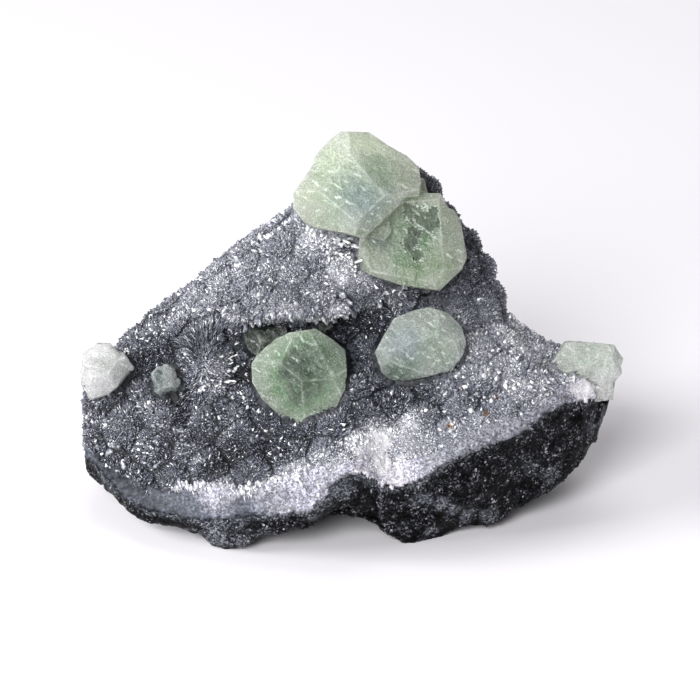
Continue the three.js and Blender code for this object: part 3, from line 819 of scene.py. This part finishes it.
def grow_points(name, tips, directions, radii, lengths, tones, uneven, painted_glints):
    """One piece of many quartz points. Each face has a tone near its own point's tone.

    Uneven is how far the faces of a point differ in painted tone, and painted_glints the share of
    faces painted white as glints.
    """
    forms = [point_form(random) for _ in range(POINT_FORMS)]
    pick = random.integers(0, POINT_FORMS, len(tips))
    side = np.cross(directions, random.normal(size=(len(tips), 3)))
    side /= np.linalg.norm(side, axis=1)[:, None]
    other = np.cross(directions, side)
    flat = random.uniform(0.7, 1.0, len(tips))
    corners, faces, tone, painted_glint = [], [], [], []
    count = 0
    for k, (form, form_faces) in enumerate(forms):
        mine = np.nonzero(pick == k)[0]
        wide, deep = radii[mine][:, None], lengths[mine][:, None]
        rise = np.where(form[:, 2] < -0.5, -deep, (form[:, 2] - TIP_RISE) * wide)
        placed = tips[mine][:, None, :] + directions[mine][:, None, :] * rise[:, :, None]
        placed += side[mine][:, None, :] * (form[:, 0] * wide)[:, :, None]
        placed += other[mine][:, None, :] * (form[:, 1] * wide * flat[mine][:, None])[:, :, None]
        corners.append(placed.reshape(-1, 3))
        starts = count + np.arange(len(mine)) * len(form)
        faces.append((form_faces[None] + starts[:, None, None]).reshape(-1, 3))
        tone.append(np.repeat(tones[mine], len(form_faces)))
        painted_glint.append(np.repeat(painted_glints[mine], len(form_faces)))
        count += len(mine) * len(form)
    corners, faces = np.concatenate(corners), np.concatenate(faces)
    # Faces differ from their point's tone at random, as painted light and dark for reflections inside,
    # and a share are painted white as glints.
    tone = np.concatenate(tone) + random.normal(0, uneven, len(faces))
    tone[random.random(len(tone)) < np.concatenate(painted_glint)] = 1
    mesh = bpy.data.meshes.new(name)
    mesh.vertices.add(len(corners))
    mesh.vertices.foreach_set("co", corners.ravel())
    mesh.loops.add(faces.size)
    mesh.loops.foreach_set("vertex_index", faces.ravel())
    mesh.polygons.add(len(faces))
    mesh.polygons.foreach_set("loop_start", np.arange(0, faces.size, 3))
    mesh.update(calc_edges=True)
    store(mesh, "tone", np.clip(tone, 0, 1), "FACE")
    store(mesh, "rust", rustiness(corners))
    mesh.materials.append(quartz_finish)
    piece = bpy.data.objects.new(name, mesh)
    scene.collection.objects.link(piece)
    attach(piece, "root")
    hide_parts("quartz_druse")


crust.data.calc_loop_triangles()
triangles = np.zeros(len(crust.data.loop_triangles) * 3, int)
crust.data.loop_triangles.foreach_get("vertices", triangles)
triangles = triangles.reshape(-1, 3)
grown_over = ~buried & ((across < ragged_reach) | ~front)
triangles = triangles[grown_over[triangles].all(1)]
first, second, third = (skin_places[triangles[:, corner]] for corner in range(3))
areas = np.linalg.norm(np.cross(second - first, third - first), axis=1) / 2
chosen = triangles[random.choice(len(triangles), CANDIDATES, p=areas / areas.sum())]
weights = random.dirichlet((1, 1, 1), CANDIDATES)
seeds = sum(skin_places[chosen[:, k]] * weights[:, k, None] for k in range(3))
outward = sum(skin_normals[chosen[:, k]] * weights[:, k, None] for k in range(3))
outward /= np.linalg.norm(outward, axis=1)[:, None]

# Which part of the druse each point belongs to, as its place in DRUSE_PARTS: the terrace
# left and right, the slope above the ledge left and right, the arm, and the back.
region = np.where(seeds[:, 0] < -22 * MM, 0, 1)
high_up = seeds[:, 2] > LEDGE_HEIGHT
region[high_up] = np.where(seeds[high_up, 0] < -12 * MM, 2, 3)
region[(seeds[:, 0] > 16 * MM) & ~high_up] = 4
region[outward[:, 1] > 0.35] = 5
size = np.clip(random.lognormal(0, 0.28, CANDIDATES), 0.6, 1.6)
large = int(LARGE_SHARE * CANDIDATES)
size[:large] = random.uniform(1.7, 2.6, large)
kept = spread(seeds, GAPS[region] * size)
seeds, outward, region, size = seeds[kept], outward[kept], region[kept], size[kept]

# They fan out from their rosette's centre, and stand straighter along the broken band.
seed_across = across_band(seeds)
in_band = smoothstep(-0.1, 0.15, seed_across) * (outward[:, 1] < 0.6)
in_band *= 1 - smoothstep(-27 * MM, -32 * MM, seeds[:, 0])
directions = np.zeros_like(seeds)
for i, (seed, normal) in enumerate(zip(seeds, outward)):
    (centre, _, _, depth), _ = from_heart(seed)
    directions[i] = (Vector(seed) - centre + Vector(normal) * depth).normalized()
directions += outward * in_band[:, None]
rise, outness = np.array([rosette_rise(seed) for seed in seeds]).T
directions += random.normal(0, 0.2, directions.shape) * (1 + in_band[:, None])
directions /= np.linalg.norm(directions, axis=1)[:, None]
slender = np.array([1.0 if from_heart(seed)[0][2] < 0.4 * MM else 0.8 for seed in seeds])
radii = WIDTHS[region] * size * slender
lengths = LENGTHS[region] * (0.8 + 0.4 * random.random(len(seeds)))
lift = rise * (1 - in_band) + random.normal(-0.1, 0.14, len(seeds)) * MM + 0.2 * MM * (size - 1)
tips = seeds + outward * lift[:, None]
# Larger points get more faces painted white as glints.
painted_glints = np.where(radii > LARGE_RADIUS, LARGE_PAINTED_GLINTS, PAINTED_GLINT_SHARES[region])
tones = milkiness(seeds, outward)
darker_end = smoothstep(-24 * MM, -32 * MM, seeds[:, 0]) * (outward[:, 1] < 0.6)
tones *= 1 - 0.75 * darker_end * smoothstep(0.35, 0.95, seed_across)
# Points darken towards the edge of their rosette: painted shade in the valleys between rosettes.
tones = tones * (1.05 - 0.22 * smoothstep(0.4, 1.25, outness) * (1 - tones))
tones = np.clip(tones + random.normal(0, 0.08, len(seeds)), 0, 1)

fluorite_tree = tree_of(*fluorite_nodes)
clear_of = np.ones(len(seeds), bool)
for i, tip in enumerate(tips):
    near = fluorite_tree.find_nearest(Vector(tip), 3 * MM)
    if near[0] is not None:
        clear_of[i] = (Vector(tip) - near[0]).dot(near[1]) > -SOCKET_DEPTH

for index, (name, _, _, _, uneven, _) in enumerate(DRUSE_PARTS):
    mine = (region == index) & clear_of
    grow_points(
        "quartz_points_" + name,
        tips[mine], directions[mine], radii[mine], lengths[mine], tones[mine],
        uneven, painted_glints[mine],
    )


# ---------------------------------------------------------------- broken edge points
# Along the left half of the broken band the crust was a comb of larger crystals, grown
# side by side. They show broken lengthwise, with their tips in a row over the band.

# Rows of the comb: spacing, radius, how far the tips stand over the rim at least and at
# most, and length, in millimetres.
COMB_ROWS = [
    (0.80, 0.42, 0.2, 1.2, 1.9),
    (0.34, 0.27, -0.2, 0.8, 1.6),
    (0.34, 0.22, -0.8, 0.2, 1.2),
    (0.36, 0.17, -1.4, -0.5, 0.8),
]
COMB_ENDS = (-33.0, -11.0)
COMB_TONE = 0.74
COMB_UNEVENNESS = 0.13
# share of the comb's faces painted white as glints
COMB_PAINTED_GLINTS = 0.05

skin_tree = BVHTree.FromBMesh(merged("quartz_druse"))
comb_tips, comb_ways, comb_radii, comb_lengths = [], [], [], []
for spacing, radius, least, most, length in COMB_ROWS:
    row_x = np.arange(*COMB_ENDS, spacing)
    row_x += random.normal(0, 0.3 * spacing, len(row_x))
    rim_places = along_line(RIM, row_x * MM)
    upwards = rim_places - along_line(CONTACT, row_x * MM)
    upwards /= np.linalg.norm(upwards, axis=1)[:, None]
    for place, way in zip(rim_places, upwards):
        over = random.uniform(least, most) * MM
        thick = radius * MM * random.lognormal(0, 0.3)
        near, normal, _, _ = skin_tree.find_nearest(Vector(place) + Vector(way) * min(over, 0))
        lean = Vector(way) + 0.5 * normal + Vector(random.normal(0, 0.16, 3))
        comb_ways.append(lean.normalized())
        comb_tips.append(near + Vector(way) * max(over, 0) + normal * random.uniform(-0.4, 0.0) * MM)
        comb_radii.append(thick)
        comb_lengths.append(length * MM * random.uniform(0.8, 1.3))
grow_points(
    "quartz_points_broken_edge",
    np.array(comb_tips), np.array(comb_ways), np.array(comb_radii), np.array(comb_lengths),
    np.clip(random.normal(COMB_TONE, 0.08, len(comb_tips)), 0, 1), COMB_UNEVENNESS,
    np.full(len(comb_tips), COMB_PAINTED_GLINTS),
)


# ---------------------------------------------------------------- large points
# Larger, clearer quartz crystals: a fringe along the brim of the ledge, sprays under the
# summit fluorite, and single crystals about the druse with many faces painted white as glints. They
# grew last.

LARGE_LENGTH = 1.8 * MM  # at least
LARGE_UNEVENNESS = 0.13

# Groups of them: how many at each place, how far apart, radius and stand in millimetres,
# tone, share of faces painted white as glints, the way they lean, and their places in millimetres.
LARGE_POINTS = [
    # fringe of the ledge
    (9, 1.7, 0.34, 1.1, 0.62, 0.06, (0.1, -0.5, -0.5), [
        (-21.6, -5.8, 37.3), (-18.5, -3.5, 34.5), (-17, -6.5, 37), (-16.9, -6.2, 39.7),
        (-13.8, -7.1, 39.1), (-11, -7, 38), (-9.1, -7.7, 38.9), (-5.4, -6.7, 40.9),
        (-5.5, -5, 36), (-3.2, -5.3, 36.7), (-2.1, -6.2, 41.1), (-0.8, -6.1, 38.3),
        (1.2, -3.5, 37.5), (5.7, -0.6, 38.3), (9.5, 0.8, 39.8),
    ]),
    # sprays below the summit fluorite
    (12, 1.7, 0.30, 1.1, 0.82, 0.08, (0.3, -0.6, -0.3), [
        (-7.3, 2.4, 50.2), (-4.5, -0.3, 49.3), (-2.7, -2.9, 48.4), (-0.8, -3, 47),
        (0.5, -3.5, 46), (-1.7, 0.3, 50.1), (0.1, -0.6, 49.4),
    ]),
    # tips on the skyline
    (4, 1.6, 0.42, 0.6, 0.72, 0.08, (-0.3, 0, 0.5), [
        (-19.5, 5, 55), (-17, 4, 58), (-22, 4, 52), (-25, 4, 48), (-33, 2, 39),
    ]),
    # edge of the large rosette
    (5, 1.0, 0.22, 1.0, 0.84, 0.15, (0.8, -0.4, -0.1), [
        (-21.2, -5.7, 26.7), (-22.7, -7.1, 26.5), (-23.8, -5.4, 27.8), (-25, -8.2, 26.4),
        (-21.8, -4.5, 28.3), (-22.3, -8.6, 25.6), (-24, -10, 25.2), (-27.5, -10, 25),
    ]),
    # single crystals with many faces painted white as glints
    (1, 0, 0.5, 0.6, 0.45, 0.26, (0, -0.3, 0.2), [
        (-10.9, -21.5, 18.3), (-9, -23, 18), (-12.7, -23.4, 17.2), (-0.8, -17, 26.3),
        (0.5, -15.7, 27.2), (2, -11.2, 27.8), (8.5, -12.8, 23.4), (11.2, -12.3, 24.1),
        (15, -11.2, 25.7), (22.2, -17.7, 23.6), (24.1, -13.2, 26.6), (25.9, -15.8, 24.8),
        (27.9, -10.6, 28.1), (28.8, -12.9, 26.5), (30.8, -9.2, 28.9), (31.5, -14.6, 25.2),
        (33.5, -11.5, 26.9), (36.4, -8.4, 27.1),
    ]),
    # clump at the end of the broken edge
    (6, 1.0, 0.36, 0.8, 0.74, 0.08, (-0.2, -0.5, 0.5), [(-8.1, -27.6, 16.2), (-9, -28.6, 14.6)]),
    # clusters on the terrace
    (7, 1.3, 0.26, 0.7, 0.55, 0.08, (0.1, -0.5, 0.1), [
        (-36.6, -10.5, 20.3), (-35.2, -14.2, 18.5), (-31.4, -15, 18.3), (-30.4, -17.5, 17.4),
        (-28, -21.4, 15.2), (-26.1, -22.6, 15.2), (-22, -18.8, 20.1), (-17.7, -20.3, 19.3),
        (-12.7, -26.9, 15.2), (-38.5, -9, 20),
    ]),
    # clusters on the arm
    (3, 1.4, 0.42, 0.4, 0.55, 0.14, (0.2, -0.3, 0.3), [
        (23, -14, 26), (27, -12, 27), (31, -9, 28.5), (35, -8, 28), (29, -15, 25.5),
        (20, -9, 29.5), (24.6, 3.8, 36.4), (26, -4, 30),
    ]),
    # clusters on the left end
    (4, 1.4, 0.38, 0.5, 0.66, 0.1, (-0.3, -0.3, 0.3), [
        (-48.1, -2, 17.3), (-46, -5.8, 16), (-44.5, -10.2, 12.9), (-42.8, -14.3, 9.7),
    ]),
    # single broad, blunt crystals
    (1, 0, 0.85, 0.3, 0.68, 0, (0, -0.4, 0.3), [
        (-26, 2.4, 38.5), (-28.7, -18.8, 17.4), (-42.7, -13.6, 10.6), (-45.3, -10.3, 11.9),
        (31.4, -18.4, 21.9),
    ]),
]

large_tips, large_ways, large_radii, large_tones, large_painted_glints = [], [], [], [], []
for count, apart, radius, stand, tone, share, lean, group in LARGE_POINTS:
    for group_place in group:
        for _ in range(count):
            offset = Vector(random.normal(0, 0.5 * apart, 3)) * MM
            root, normal, _, _ = skin_tree.find_nearest(Vector(group_place) * MM + offset)
            way = (normal + Vector(lean) + 0.5 * offset / MM).normalized()
            large_ways.append(way + Vector(random.normal(0, 0.12, 3)))
            large_tips.append(root + way * stand * MM * random.uniform(0.3, 1.2))
            large_radii.append(radius * MM * random.lognormal(0, 0.25))
            large_tones.append(tone + random.normal(0, 0.08))
            large_painted_glints.append(share)
large_ways = np.array(large_ways)
large_ways /= np.linalg.norm(large_ways, axis=1)[:, None]
large_radii = np.array(large_radii)
grow_points(
    "quartz_points_large",
    np.array(large_tips), large_ways, large_radii, np.maximum(LARGE_LENGTH, 4 * large_radii),
    np.clip(large_tones, 0, 1), LARGE_UNEVENNESS, np.array(large_painted_glints),
)


# ---------------------------------------------------------------- fluorite crystals
# Fluorite: cubes with cut-back edges and corners, seated on the crust. Most are pale green,
# with satin faces, growth steps and small etch pits; three broken ones are cloudy and clear.

FLUORITE_SPACING = 0.27 * MM
EDGE_ROUND = 0.13 * MM
MARK_SPACING = 0.2 * MM  # of the marks along the edges, from which distances are measured
GROWTH_STEP = 1.7 * MM
STEP_RELIEF = 0.09 * MM
STEP_WAY = np.array([0.5, 0.1, 0.86])
PIT_DEPTH = 0.05 * MM
HOLLOW_DEPTH = 0.3 * MM
HOLLOW_COLOUR = "90ac8d"
FLAKE = 3.0 * MM
CHIP = 0.9 * MM
DUST_SPACING = 1.1 * MM
SPECKLE = 0.3 * MM
BROKEN_FLUORITES = ("fluorite_left_edge", "fluorite_right_tip", "fluorite_little")

# Hollows etched into a face: x, y, z and reach in millimetres.
ETCHED_HOLLOWS = {
    "fluorite_summit": [
        (10.8, 0.2, 56, 1.5),
        (12.4, 0, 55.3, 2.3),
        (14.9, -0.3, 54.6, 2.3),
        (11.6, -1.2, 52.4, 1.4),
        (11.1, -2, 50.4, 1.6),
        (12.4, -2.8, 48.5, 1.2),
    ],
}

# Where the faces are rough, flaky breaks: x, y, z and reach in millimetres.
ROUGH_PLACES = {
    "fluorite_summit": [
        (-1, -4, 66, 3.5), (4, -3, 63, 3), (8, 1, 62, 2.6), (12, -4.4, 45.1, 3.5), (17, -2.4, 48.1, 3),
        (4, -5, 55.5, 2.2), (-6, -2, 62, 2.5),
    ],
    "fluorite_centre": [(-1, -17, 29, 3), (-5, -18, 23, 3.4), (-1.5, -15, 34, 2.5)],
    "fluorite_right": [(10, -12, 28.5, 4.6), (14.5, -12, 29.5, 3.6), (18, -10, 30.5, 2.4)],
}

# Colour of each crystal near its outside, and zones of other colours in it: x, y, z and
# reach in millimetres, colour.
FLUORITE_COLOURS = {
    "fluorite_summit": ("f1f6ea", [
        (11.5, -1.4, 50.1, 11, "dbe3da"),
        (-1, -4, 62, 10, "eaf3e6"),
        (2.5, -5, 60.5, 7.5, "dae3e1"),
        (5, -2, 64.5, 5, "e2ebdf"),
        (13, -1.4, 52.6, 5.5, "c6d4c4"),
        (12, -3.4, 48.1, 4.5, "c6d6c3"),
        (5, -2, 51, 3.4, "d0d6d2"),
        (16, -3.4, 47.6, 3.5, "dae3d5"),
        (10, -5.4, 44.6, 4, "dce5d7"),
    ]),
    "fluorite_centre": ("dfe8dd", [
        (-9, -16, 28, 7, "b0c6ad"),
        (-7.5, -15, 32, 6, "94b494"),
        (-11.5, -15.5, 31, 2.2, "6c9070"),
        (-9.3, -17, 27, 2.4, "7fa37e"),
        (-6, -16, 29, 3.4, "8db28b"),
    ]),
    # The two crystals under the ledge are coloured dark grey-green: painted shade of the ledge above
    # them.
    "fluorite_shaded": ("959f95", []),
    "fluorite_under_ledge": ("959f95", []),
    "fluorite_right": ("e9efea", [
        (10.5, -11.5, 33.5, 6, "e4ebec"),
        (9.5, -12, 28.5, 5, "d2ddd4"),
        (16.5, -11, 33, 5, "e5eee3"),
    ]),
    "fluorite_left_edge": ("f6f6f6", [(-45, -5.5, 27, 4, "eaecea")]),
    "fluorite_little": ("cfd2d2", [(-34, -7.5, 24, 2, "e0e2e2")]),
    "fluorite_right_tip": ("f2f6f1", [
        (45, -4, 28.5, 4, "e8efe7"),
        (47.5, -5.4, 22.5, 6, "ffffff"),
    ]),
}


def fine_crystal(node, name):
    """A fluorite from its CAD solid, with rounded edges and an even, fine surface."""
    shape = merged(node)
    every = {"verts": shape.verts, "edges": shape.edges}
    bmesh.ops.dissolve_limit(shape, angle_limit=math.radians(1), **every)
    sharp = [e for e in shape.edges if e.is_convex and e.calc_face_angle(0) > math.radians(8)]
    marks = []
    for edge in sharp:
        start, end = (v.co.copy() for v in edge.verts)
        steps = max(2, int((end - start).length / MARK_SPACING))
        marks += [start.lerp(end, i / steps) for i in range(steps + 1)]
    bmesh.ops.bevel(
        shape, geom=sharp, affect="EDGES", offset=EDGE_ROUND, segments=2, profile=0.5,
        material=-1, clamp_overlap=True,
    )
    bmesh.ops.triangulate(shape, faces=shape.faces)
    for _ in range(9):
        long = [e for e in shape.edges if e.calc_length() > FLUORITE_SPACING * 1.5]
        if not long:
            break
        bmesh.ops.subdivide_edges(shape, edges=long, cuts=1)
        bmesh.ops.triangulate(shape, faces=shape.faces)
    edges = KDTree(len(marks))
    for i, mark in enumerate(marks):
        edges.insert(mark, i)
    edges.balance()
    return piece_from(shape, name), edges


def fluorite_material(name, transmission, frosted, flaky, absorbed_colour):
    """Satin, cloudy fluorite: frosted and dusty outside, with light scattered inside.

    Transmission and frosted say as a grey how clear the faces are, and how clear where
    they are frosted; flaky is how far flakes of the surface differ in tone.
    """
    material, tree = new_material(name)
    where = add_node(tree, "TexCoord").outputs["Object"]
    painted_rim_highlight = add_node(tree, "Attribute", settings={"attribute_name": "rim"}).outputs["Fac"]
    own_colour = add_node(tree, "Attribute", settings={"attribute_name": "tint"}).outputs["Color"]
    turn = (math.radians(24), 0, math.radians(28))
    squared = add_node(tree, "Mapping", {"Vector": where, "Rotation": turn})
    warp = add_node(tree, "TexNoise", {"Vector": squared, "Scale": 1 / (1.2 * MM), "Detail": 3})
    jagged = add_node(
        tree,
        "VectorMath",
        {0: warp.outputs["Color"], 1: (1.1 * MM, 1.1 * MM, 1.1 * MM), 2: squared},
        {"operation": "MULTIPLY_ADD"},
    )
    flakes, chips = (
        add_node(tree, "TexVoronoi", {"Vector": jagged, "Scale": 1 / size}, {"distance": "CHEBYCHEV"})
        for size in (FLAKE, CHIP)
    )
    flakes, chips = (
        add_node(tree, "SeparateColor", {0: cells.outputs["Color"]}) for cells in (flakes, chips)
    )
    cloud = add_node(
        tree, "TexNoise", {"Vector": where, "Scale": 1 / (3 * MM), "Detail": 5, "Roughness": 0.6}
    )
    colour = mottled(tree, own_colour, 0.3, cloud, (0.3, "5a5a5a"), (0.7, "a8a8a8"))
    dust = add_node(tree, "TexVoronoi", {"Vector": where, "Scale": 1 / DUST_SPACING})
    colour = covered(tree, colour, linear("eef4ec"), dust, (0.11, "b0b0b0"), (0.18, "000000"))
    speckle = add_node(
        tree, "TexNoise", {"Vector": where, "Scale": 1 / SPECKLE, "Detail": 2, "Roughness": 0.7}
    )
    colour = mottled(tree, colour, 0.35, speckle, (0.3, "505050"), (0.7, "b8b8b8"))
    colour = mottled(tree, colour, flaky, flakes, (0.1, "5c5c5c"), (0.9, "a4a4a4"))

    # Outlines of growth steps: level lines of a smooth pattern, in some places only, drawn white as
    # painted highlights.
    levels = add_node(
        tree, "TexNoise", {"Vector": squared, "Scale": 1 / (5 * MM), "Detail": 5, "Roughness": 0.6}
    )
    levels = add_node(tree, "Math", {0: levels, 1: 11}, {"operation": "MULTIPLY"})
    levels = add_node(tree, "Math", {0: levels}, {"operation": "FRACT"})
    stepped_here = add_node(
        tree, "TexNoise", {"Vector": where, "Scale": 1 / (2.6 * MM), "Detail": 3, "Roughness": 0.6}
    )
    outlines = add_node(tree, "ValToRGB", {0: levels}, stops=[(0.0, "c8c8c8"), (0.1, "000000")])
    black = linear("000000")
    painted_highlight_lines = covered(tree, black, outlines, stepped_here, (0.5, "000000"), (0.56, "ffffff"))
    # With the rim attribute, these white lines are painted highlights: they whiten the colour and make
    # the faces there opaque.
    screen = {"data_type": "RGBA", "blend_type": "SCREEN"}
    painted_highlight_lines = add_node(tree, "Mix", {0: 1, 6: painted_highlight_lines, 7: painted_rim_highlight}, screen).outputs[2]
    whitened = {0: painted_highlight_lines, 6: colour, 7: linear("f4f8f2")}
    colour = add_node(tree, "Mix", whitened, {"data_type": "RGBA"}).outputs[2]

    pits = add_node(
        tree, "TexNoise", {"Vector": where, "Scale": 1 / SPECKLE, "Detail": 3, "Roughness": 0.6}
    )
    relief = {}
    for height, depth in ((flakes, 0.4), (chips, 0.14), (levels, 0.3), (pits, 0.12)):
        bump = {"Height": height, "Strength": 0.8, "Distance": depth * MM, **relief}
        relief = {"Normal": add_node(tree, "Bump", bump)}
    clear = add_node(tree, "ValToRGB", {0: speckle}, stops=[(0.5, transmission), (0.75, frosted)])
    clear = add_node(tree, "Mix", {0: painted_highlight_lines, 6: clear, 7: black}, {"data_type": "RGBA"}).outputs[2]
    scattering = add_node(tree, "ValToRGB", {0: speckle}, stops=[(0.45, "ffffff"), (0.7, "404040")])
    surface = add_node(
        tree,
        "BsdfPrincipled",
        {
            "Base Color": colour,
            "Roughness": 0.22,
            "IOR": 1.434,
            "Transmission Weight": clear,
            "Subsurface Weight": scattering,
            "Subsurface Radius": (1.0, 1.0, 1.0),
            "Subsurface Scale": 7 * MM,
            **relief,
        },
    )
    absorbed = {"Color": linear(absorbed_colour), "Density": 17.0}
    inside = add_node(tree, "VolumeAbsorption", absorbed)
    add_node(tree, "OutputMaterial", {"Surface": surface, "Volume": inside})
    return material


# Pale green fluorite, clear enough to show its thickness, and fluorite without colour,
# cloudy with cracks and flaky where it broke.
fluorite_finish = fluorite_material("pale_green_fluorite", "d6d6d6", "acacac", 0.5, "d6e6d8")
cloudy_finish = fluorite_material("cloudy_colourless_fluorite", "c4c4c4", "808080", 0.9, "eef3ee")

for node in fluorite_nodes:
    crystal, edges = fine_crystal(node, node.replace("fluorite", "fluorite_crystal"))
    places, normals = arrays_of(crystal.data)
    off_edge = np.array([edges.find(Vector(p))[2] for p in places])

    # Growth steps: ledges that climb across the faces, sharp on one side, away from edges.
    climb = places @ STEP_WAY / GROWTH_STEP
    climb += 0.5 * swell(places, 9 * MM, 3, 2.2) + 0.2 * swell(places, 1.1 * MM, 3, 3.3)
    ledges = smoothstep(0.86, 0.97, climb % 1) - climb % 1
    stepped = smoothstep(-0.1, 0.15, swell(places, 6 * MM, 2, 6.1))
    stepped *= smoothstep(0.2, 0.8, off_edge / MM)
    on_ledge = smoothstep(0.78, 0.86, climb % 1) * (1 - smoothstep(0.92, 1, climb % 1))
    on_ledge *= stepped * smoothstep(-0.05, 0.15, swell(places, 1.3 * MM, 2, 5.2))
    relief = STEP_RELIEF * ledges * stepped

    # Unevenness, etch pits, flaky breaks and etched hollows.
    relief += 0.02 * MM * swell(places, 0.8 * MM, 3)
    relief -= PIT_DEPTH * smoothstep(0.3, 0.5, swell(places, 1.1 * MM, 2, 8.3))
    rough = np.full(len(places), 0.12)
    fray = 0.3 * swell(places, 1.8 * MM, 3, 3.9)
    for *spot, reach in ROUGH_PLACES.get(node, []):
        rough = np.maximum(rough, closeness(places, spot, reach, 0.8, 1.0, fray))
    relief += rough * chipped(places, 1.1 * MM, 0.22)
    hollow = np.zeros(len(places))
    fray = 0.55 * swell(places, 1.2 * MM, 4, 4.4)
    for *spot, reach in ETCHED_HOLLOWS.get(node, []):
        hollow = np.maximum(hollow, closeness(places, spot, reach, 0.85, 1.0, fray))
    relief -= HOLLOW_DEPTH * hollow
    if node in BROKEN_FLUORITES:
        relief += chipped(places, 3.6 * MM, 0.12) + 0.15 * MM * swell(places, 2.2 * MM, 3)
    set_places(crystal.data, places + normals * relief[:, None])
    smooth_faces(crystal.data)

    # White lines along edges, round hollows and on ledges: painted highlights where these catch the
    # light.
    painted_edge_highlight = 0.16 + 0.3 * smoothstep(-0.1, 0.3, swell(places, 2.4 * MM, 3, 6.6))
    rim = painted_edge_highlight * np.exp(-off_edge / EDGE_ROUND) + 3 * hollow * (1 - hollow) + 0.55 * on_ledge
    store(crystal.data, "rim", np.clip(rim, 0, 1))

    outer, zones = FLUORITE_COLOURS[node]
    tint = np.tile(linear(outer), (len(places), 1))
    fray = 0.15 * swell(places, 2 * MM, 3, 7.7)
    for *spot, reach, zone_colour in zones:
        share = closeness(places, spot, reach, 0.0, 1.15, fray)
        tint += (np.array(linear(zone_colour)) - tint) * share[:, None]
    tint += (np.array(linear(HOLLOW_COLOUR)) - tint) * 0.65 * hollow[:, None]
    tints = crystal.data.attributes.new("tint", "FLOAT_COLOR", "POINT")
    tints.data.foreach_set("color", tint.astype(np.float32).ravel())
    crystal.data.materials.append(cloudy_finish if node in BROKEN_FLUORITES else fluorite_finish)
    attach(crystal, "root")
    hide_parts(node)
